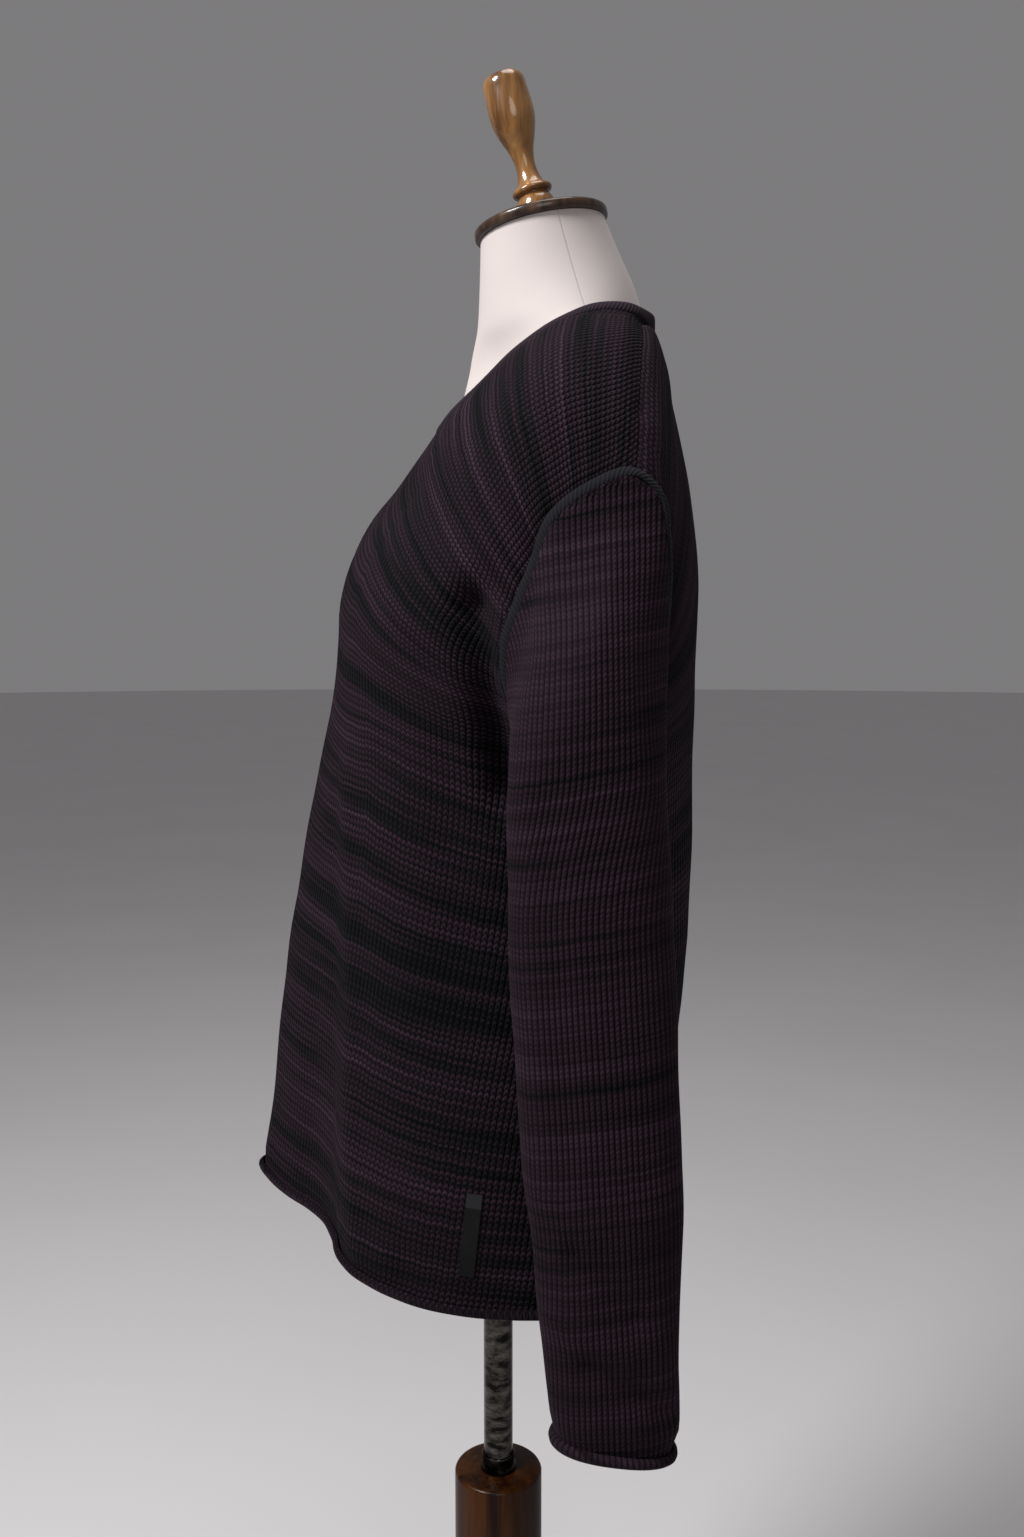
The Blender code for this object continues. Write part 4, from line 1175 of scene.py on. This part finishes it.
def build_label():
    """The tape's wall, laid on the front panel and drawn flat over its ribs."""
    surface = BVHTree.FromObject(panels["front_panel"], bpy.context.evaluated_depsgraph_get())
    top = Vector(metres(LABEL_TOP))
    down = Vector((0, -math.sin(LABEL_LEAN), -math.cos(LABEL_LEAN)))
    across = Vector((0, math.cos(LABEL_LEAN), -math.sin(LABEL_LEAN)))
    rows = []
    for drop in np.linspace(LABEL_LENGTH, 0, LABEL_ROWS + 1):
        row = []
        for shift in np.linspace(-LABEL_WIDTH / 2, LABEL_WIDTH / 2, LABEL_COLUMNS + 1):
            start = top + down * drop + across * shift + RAY_START
            row.append(surface.ray_cast(start, -RAY_START)[0])
        rows.append(row)
    inner = np.array(rows)
    for _ in range(LABEL_PASSES):
        inner[1:-1, :, 0] = (inner[:-2, :, 0] + inner[2:, :, 0]) / 2
        inner[:, 1:-1, 0] = (inner[:, :-2, 0] + inner[:, 2:, 0]) / 2
    normals = surface_normals(inner)
    inner = inner + normals * (LABEL_LIFT + RIB_HEIGHT / 2)
    places = np.tile(np.linspace(0, LABEL_WIDTH, LABEL_COLUMNS + 1), (LABEL_ROWS + 1, 1))
    lengths = np.broadcast_to(np.linspace(0, LABEL_LENGTH, LABEL_ROWS + 1)[:, None], places.shape)
    return grid_wall(inner + normals * LABEL_THICKNESS, inner, places, lengths)


def label_material():
    """Fine satin weave: black, with a painted grey highlight on its top end."""
    material, tree, shader = new_material("label tape", (0.010, 0.010, 0.011), 0.5)
    maths = partial(reckon, tree)
    _, across, along = knit_map(tree)
    weft, warp = threads(tree, along, LABEL_WEFT), threads(tree, across, LABEL_WARP)
    # Painted highlight: the top end is lighter grey, where the folded-under tape catches light.
    painted_highlight_end = maths("GREATER_THAN", along, LABEL_LENGTH - PAINTED_HIGHLIGHT_LENGTH)
    share = maths("MULTIPLY", painted_highlight_end, maths("ADD", 0.75, maths("MULTIPLY", weft, 0.2)))
    colour = blend(tree, share, (0.0035, 0.0035, 0.004, 1), (0.022, 0.023, 0.025, 1))
    raised(tree, shader, maths("MULTIPLY", weft, warp), 0.0001)
    set_inputs(tree, shader, {"Base Color": colour, "Specular IOR Level": 0.12})
    return material


label_mesh = finish_mesh(build_label(), "side_label", 40)
add_piece("side_label_tape", label_mesh, label_material(), "form", ("side_label",))


# Dress form. A moulded limbless torso in a tight off-white jersey, with a seam down each side
# of its neck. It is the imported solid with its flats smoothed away, drawn in under the cloth.

JERSEY_COURSE = 0.0013
JERSEY_WALE = 0.0011
NECK_SEAM_TOP = 1.556           # the neck's seam leans back from here, this far behind the pole
NECK_SEAM_BACK = 0.046
NECK_SEAM_SLOPE = 0.27
NECK_SEAM_HALF = 0.0011
UNDER_CLOTH = 0.004             # the hidden form keeps this much further from the cloth
SHOWN_ABOVE = 1.452             # below this height the cloth hides the form
DRAW_IN_REACH = 0.02
FORM_FOOT = 0.87
FORM_SOCKET = 0.03              # nothing this near the pole is drawn in
FLAT_ANGLE = math.radians(0.5)
SIDE_ANGLE = math.radians(30)
SHAPE_ANGLE = math.radians(50)
CREASE_ANGLE = math.radians(55)


def jersey_material():
    """Fine off-white jersey, a little clouded, with painted shade along the sunken seam on each side of
    the neck.
    """
    material, tree, shader = new_material("form jersey", (0.80, 0.765, 0.755), 0.8)
    maths = partial(reckon, tree)
    place = object_place(tree)
    split = add_node(tree, "SeparateXYZ", {0: place}).outputs
    rows, wales = threads(tree, split["Z"], JERSEY_COURSE), threads(tree, split["Y"], JERSEY_WALE)
    below_top = maths("SUBTRACT", NECK_SEAM_TOP, split["Z"])
    lean = maths("ADD", maths("MULTIPLY", below_top, NECK_SEAM_SLOPE), NECK_SEAM_BACK)
    away = maths("ABSOLUTE", maths("SUBTRACT", split["Y"], lean))
    seam = maths("SUBTRACT", 1.0, maths("MINIMUM", 1.0, maths("DIVIDE", away, NECK_SEAM_HALF)))
    cloud = clouds(tree, place, 9, 4)
    # The seam's darkening is painted shade in its crease; the cloud is the jersey's own uneven tone.
    shade = maths("ADD", maths("MULTIPLY", seam, 0.5), maths("MULTIPLY", cloud, 0.22))
    colour = blend(tree, shade, (0.49, 0.435, 0.420, 1), (0.32, 0.275, 0.260, 1))
    weave = maths("MULTIPLY", maths("MULTIPLY", rows, wales), 0.25)
    height = maths("SUBTRACT", weave, maths("MULTIPLY", seam, 1.5))
    raised(tree, shader, height, 0.0003, 0.5)
    set_inputs(tree, shader, {"Base Color": colour, "Sheen Weight": 0.15})
    return material


bm = bmesh.new()
bm.from_mesh(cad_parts["form_torso"].data)
bmesh.ops.remove_doubles(bm, verts=bm.verts[:], dist=1e-5)
bmesh.ops.dissolve_limit(bm, angle_limit=FLAT_ANGLE, verts=bm.verts[:], edges=bm.edges[:])
bmesh.ops.join_triangles(
    bm, faces=bm.faces[:], angle_face_threshold=SIDE_ANGLE, angle_shape_threshold=SHAPE_ANGLE,
)
bm.normal_update()
for vert in bm.verts:
    if FORM_FOOT < vert.co.z < SHOWN_ABOVE and vert.co.xy.length > FORM_SOCKET:
        vert.co -= vert.normal * UNDER_CLOTH * min(1, (SHOWN_ABOVE - vert.co.z) / DRAW_IN_REACH)
creases = bm.edges.layers.float.new("crease_edge")
for edge in bm.edges:
    if len(edge.link_faces) == 2 and edge.calc_face_angle(0) > CREASE_ANGLE:
        edge[creases] = 1
torso_mesh = finish_mesh(bm, "form_torso_jersey", 50)
jersey = jersey_material()
torso = add_piece("form_torso_jersey", torso_mesh, jersey, "form", ("form_torso",))
smooth = torso.modifiers.new("Smooth", "SUBSURF")
smooth.levels = smooth.render_levels = 2


# Neck cap and finial. A flat turned disc closes the neck, and a turned handle stands on it,
# leaning forward a little more. Both are hardwood under a dark and a warm brown varnish.

CAP_LEAN = math.radians(10.5)
FINIAL_LEAN = math.radians(15.5)
CAP_UP = Vector((0, -math.sin(CAP_LEAN), math.cos(CAP_LEAN)))
CAP_THICKNESS = 0.008
TOUCH_GAP = 0.0003
NECK_TOP = Vector((0, 0.036, 1.550))
WOOD_STEPS = 72
Turned = namedtuple("Turned", "height radius")
CAP_OUTLINE = (
    Turned(0, 52.2), Turned(0.5, 53.3), Turned(1.6, 54.0), Turned(5.6, 54.0), Turned(7.0, 53.5),
    Turned(7.8, 52.4), Turned(8.0, 50.5),
)
FINIAL_OUTLINE = (
    Turned(-3, 9.0), Turned(2, 13.6), Turned(9, 16.0), Turned(16, 14.4), Turned(20, 12.4),
    Turned(21.2, 15.2), Turned(23.4, 16.3), Turned(25.6, 15.2), Turned(27, 12.4),
    Turned(33, 9.4), Turned(44, 8.0), Turned(54, 9.6), Turned(66, 14.0),
    Turned(79, 17.7), Turned(90, 18.1), Turned(102, 17.4), Turned(110, 16.6),
    Turned(113.5, 14.4), Turned(115, 10.0),
)


def spun(outline, steps, ring=False):
    """A turned solid: an outline of height and radius in millimetres spun round Z."""
    bm = bmesh.new()
    verts = [bm.verts.new((spot.radius / 1000, 0, spot.height / 1000)) for spot in outline]
    edges = [bm.edges.new(pair) for pair in zip(verts, verts[1:])]
    if ring:
        edges.append(bm.edges.new((verts[-1], verts[0])))
    bmesh.ops.spin(
        bm, geom=verts + edges, cent=(0, 0, 0), axis=(0, 0, 1), angle=2 * math.pi, steps=steps,
        use_merge=True,
    )
    bmesh.ops.remove_doubles(bm, verts=bm.verts[:], dist=SAME_PLACE)
    bmesh.ops.recalc_face_normals(bm, faces=bm.faces[:])
    return bm


def closed_outline(outline):
    """The outline carried in to the axis at both ends."""
    return (Turned(outline[0].height, 0), *outline, Turned(outline[-1].height, 0))


def curved_outline(outline):
    """The outline on a smooth curve, four steps to a span."""
    line = smooth_curve([(spot.radius, 0, spot.height) for spot in outline], fineness=4)
    return tuple(Turned(point[2], point[0]) for point in line)


def grain_group():
    """Wood grain as a node group: drawn-out streaks and pores along Z."""
    tree, entry, leave = new_group(
        "wood grain", {"Vector": "Vector", "Light": "Color", "Dark": "Color"},
        {"Color": "Color", "Roughness": "Float", "Height": "Float"},
    )
    maths = partial(reckon, tree)
    streaks = clouds(tree, entry["Vector"], detail=5, distortion=0.6, stretch=(55, 55, 3.0))
    pores = clouds(tree, entry["Vector"], detail=3, distortion=0.6, stretch=(260, 260, 14))
    grain = maths("ADD", maths("MULTIPLY", streaks, 0.7), maths("MULTIPLY", pores, 0.3))
    sharp = add_node(tree, "MapRange", {"Value": grain, "From Min": 0.38, "From Max": 0.62}).outputs[0]
    set_inputs(tree, leave, {
        "Color": blend(tree, sharp, entry["Dark"], entry["Light"]),
        "Roughness": maths("ADD", 0.24, maths("MULTIPLY", pores, 0.16)),
        "Height": pores,
    })


def wood_material(name, light, dark, coat):
    """Grained wood under a varnish; coat is how glossy the varnish is."""
    material, tree, shader = new_material(name, light, 0.3)
    grain = use_group(tree, "wood grain", {
        "Vector": object_place(tree), "Light": (*light, 1), "Dark": (*dark, 1),
    })
    raised(tree, shader, grain["Height"], 0.0001, 0.3)
    set_inputs(tree, shader, {
        "Base Color": grain["Color"], "Roughness": grain["Roughness"], "Specular IOR Level": 0.15,
        "Coat Weight": coat, "Coat Roughness": 0.08,
    })
    return material


def set_on_neck(bm, height, lean):
    """Lean a turned piece forward and set it the given height over the neck's top face."""
    bmesh.ops.rotate(bm, verts=bm.verts[:], cent=(0, 0, 0), matrix=Matrix.Rotation(lean, 3, "X"))
    bmesh.ops.translate(bm, verts=bm.verts[:], vec=NECK_TOP + CAP_UP * height)
    return bm


grain_group()
cap_wood = wood_material("cap wood", (0.072, 0.041, 0.026), (0.018, 0.010, 0.007), 0.4)
finial_wood = wood_material("finial wood", (0.255, 0.120, 0.036), (0.080, 0.033, 0.009), 0.9)
bm = set_on_neck(spun(closed_outline(CAP_OUTLINE), WOOD_STEPS), TOUCH_GAP, CAP_LEAN)
add_piece("neck_cap_disc", finish_mesh(bm, "neck_cap", 40), cap_wood, "form", ("neck_cap",))
seat = TOUCH_GAP * 2 + CAP_THICKNESS
bm = set_on_neck(spun(closed_outline(curved_outline(FINIAL_OUTLINE)), WOOD_STEPS), seat, FINIAL_LEAN)
whole = bm.verts[:] + bm.edges[:] + bm.faces[:]
cut = bmesh.ops.bisect_plane(
    bm, geom=whole, plane_co=NECK_TOP + CAP_UP * seat, plane_no=CAP_UP, clear_inner=True,
)
rim = [edge for edge in cut["geom_cut"] if isinstance(edge, bmesh.types.BMEdge)]
bmesh.ops.contextual_create(bm, geom=rim)
bmesh.ops.recalc_face_normals(bm, faces=bm.faces[:])
finial_mesh = finish_mesh(bm, "finial", 40)
add_piece("finial_handle", finial_mesh, finial_wood, "form", ("finial",))


# Pole and post collar. A chromed steel tube, mottled with age, slides in the post through a
# short chromed ring that sits on the post's top.

POLE_RADIUS = 12.7
POLE_BOTTOM = 220
POLE_TOP = 970
RUNNING_GAP = 0.3
POST_TOP = 500
METAL_STEPS = 64
BORE_RADIUS = POLE_RADIUS + RUNNING_GAP
POLE_OUTLINE = (
    Turned(POLE_TOP, 11.7), Turned(POLE_TOP - 1, POLE_RADIUS), Turned(POLE_BOTTOM + 0.5, POLE_RADIUS),
    Turned(POLE_BOTTOM, 12.2),
)
COLLAR_FOOT = POST_TOP + TOUCH_GAP * 1000
COLLAR_OUTLINE = (
    Turned(COLLAR_FOOT, BORE_RADIUS), Turned(COLLAR_FOOT + 14, BORE_RADIUS),
    Turned(COLLAR_FOOT + 14, 13.6), Turned(COLLAR_FOOT + 13.6, 13.9), Turned(COLLAR_FOOT + 3.9, 13.9),
    Turned(COLLAR_FOOT + 3.4, 14.6), Turned(COLLAR_FOOT + 2.9, 15.4), Turned(COLLAR_FOOT + 2.2, 15.6),
    Turned(COLLAR_FOOT, 15.6),
)
CHROME_STRETCH = (1, 1, 2.6)
CHROME_TINTS = ((0.42, (0.008, 0.007, 0.006)), (0.64, (0.085, 0.078, 0.070)))


def chrome_material():
    """Old chrome: bright, with cloudy duller patches and darker specks."""
    material, tree, shader = new_material("worn chrome", (0.62, 0.61, 0.60), 0.12, 1.0)
    maths = partial(reckon, tree)
    place = object_place(tree)
    patches = clouds(tree, place, 70, 5, stretch=CHROME_STRETCH)
    specks = clouds(tree, place, 340, 3, stretch=CHROME_STRETCH)
    dullness = maths("ADD", maths("MULTIPLY", patches, 0.75), maths("MULTIPLY", specks, 0.25))
    raised(tree, shader, patches, 0.0004, 0.5)
    set_inputs(tree, shader, {
        "Base Color": ramped(tree, dullness, CHROME_TINTS),
        "Roughness": maths("ADD", 0.02, maths("MULTIPLY", patches, 0.30)),
    })
    return material


chrome = chrome_material()
pole_mesh = finish_mesh(spun(closed_outline(POLE_OUTLINE), METAL_STEPS), "pole", 30)
add_piece("pole_tube", pole_mesh, chrome, "pole", ("pole",))
collar_mesh = finish_mesh(spun(COLLAR_OUTLINE, METAL_STEPS, ring=True), "post_collar", 30)
add_piece("post_collar_ring", collar_mesh, chrome, "stand", ("post_collar",))


# Post and base. A round hardwood post under a dark glossy varnish, bored for the pole, on a
# plain round base; both have softened edges. The base is below the photograph's edge.

POST_RADIUS = 38
BORE_BOTTOM = 100
BASE_RADIUS = 190
BASE_THICKNESS = 25
ROUND_WOOD_STEPS = 128
POST_OUTLINE = (
    Turned(BORE_BOTTOM, 0), Turned(BORE_BOTTOM, BORE_RADIUS), Turned(POST_TOP - 0.6, BORE_RADIUS),
    Turned(POST_TOP, BORE_RADIUS + 0.6), Turned(POST_TOP, 35.2), Turned(POST_TOP - 0.4, 36.4),
    Turned(POST_TOP - 1.2, 37.3), Turned(POST_TOP - 2.6, POST_RADIUS),
    Turned(BASE_THICKNESS + 1.1, POST_RADIUS), Turned(BASE_THICKNESS + 0.3, 37.2),
    Turned(BASE_THICKNESS + 0.3, 0),
)
BASE_OUTLINE = (
    Turned(BASE_THICKNESS, 0), Turned(BASE_THICKNESS, 183), Turned(24.6, 185.6), Turned(23.4, 187.9),
    Turned(21.4, 189.3), Turned(18.8, BASE_RADIUS), Turned(1, BASE_RADIUS), Turned(0.3, 189.7),
    Turned(0, 189), Turned(0, 0),
)
post_wood = wood_material("post wood", (0.046, 0.014, 0.0022), (0.008, 0.002, 0.0004), 0.06)
post_mesh = finish_mesh(spun(POST_OUTLINE, ROUND_WOOD_STEPS), "post", 40)
add_piece("post_wood", post_mesh, post_wood, "stand", ("post",))
base_mesh = finish_mesh(spun(BASE_OUTLINE, ROUND_WOOD_STEPS), "base", 40)
add_piece("base_wood", base_mesh, post_wood, "stand", ("base",))
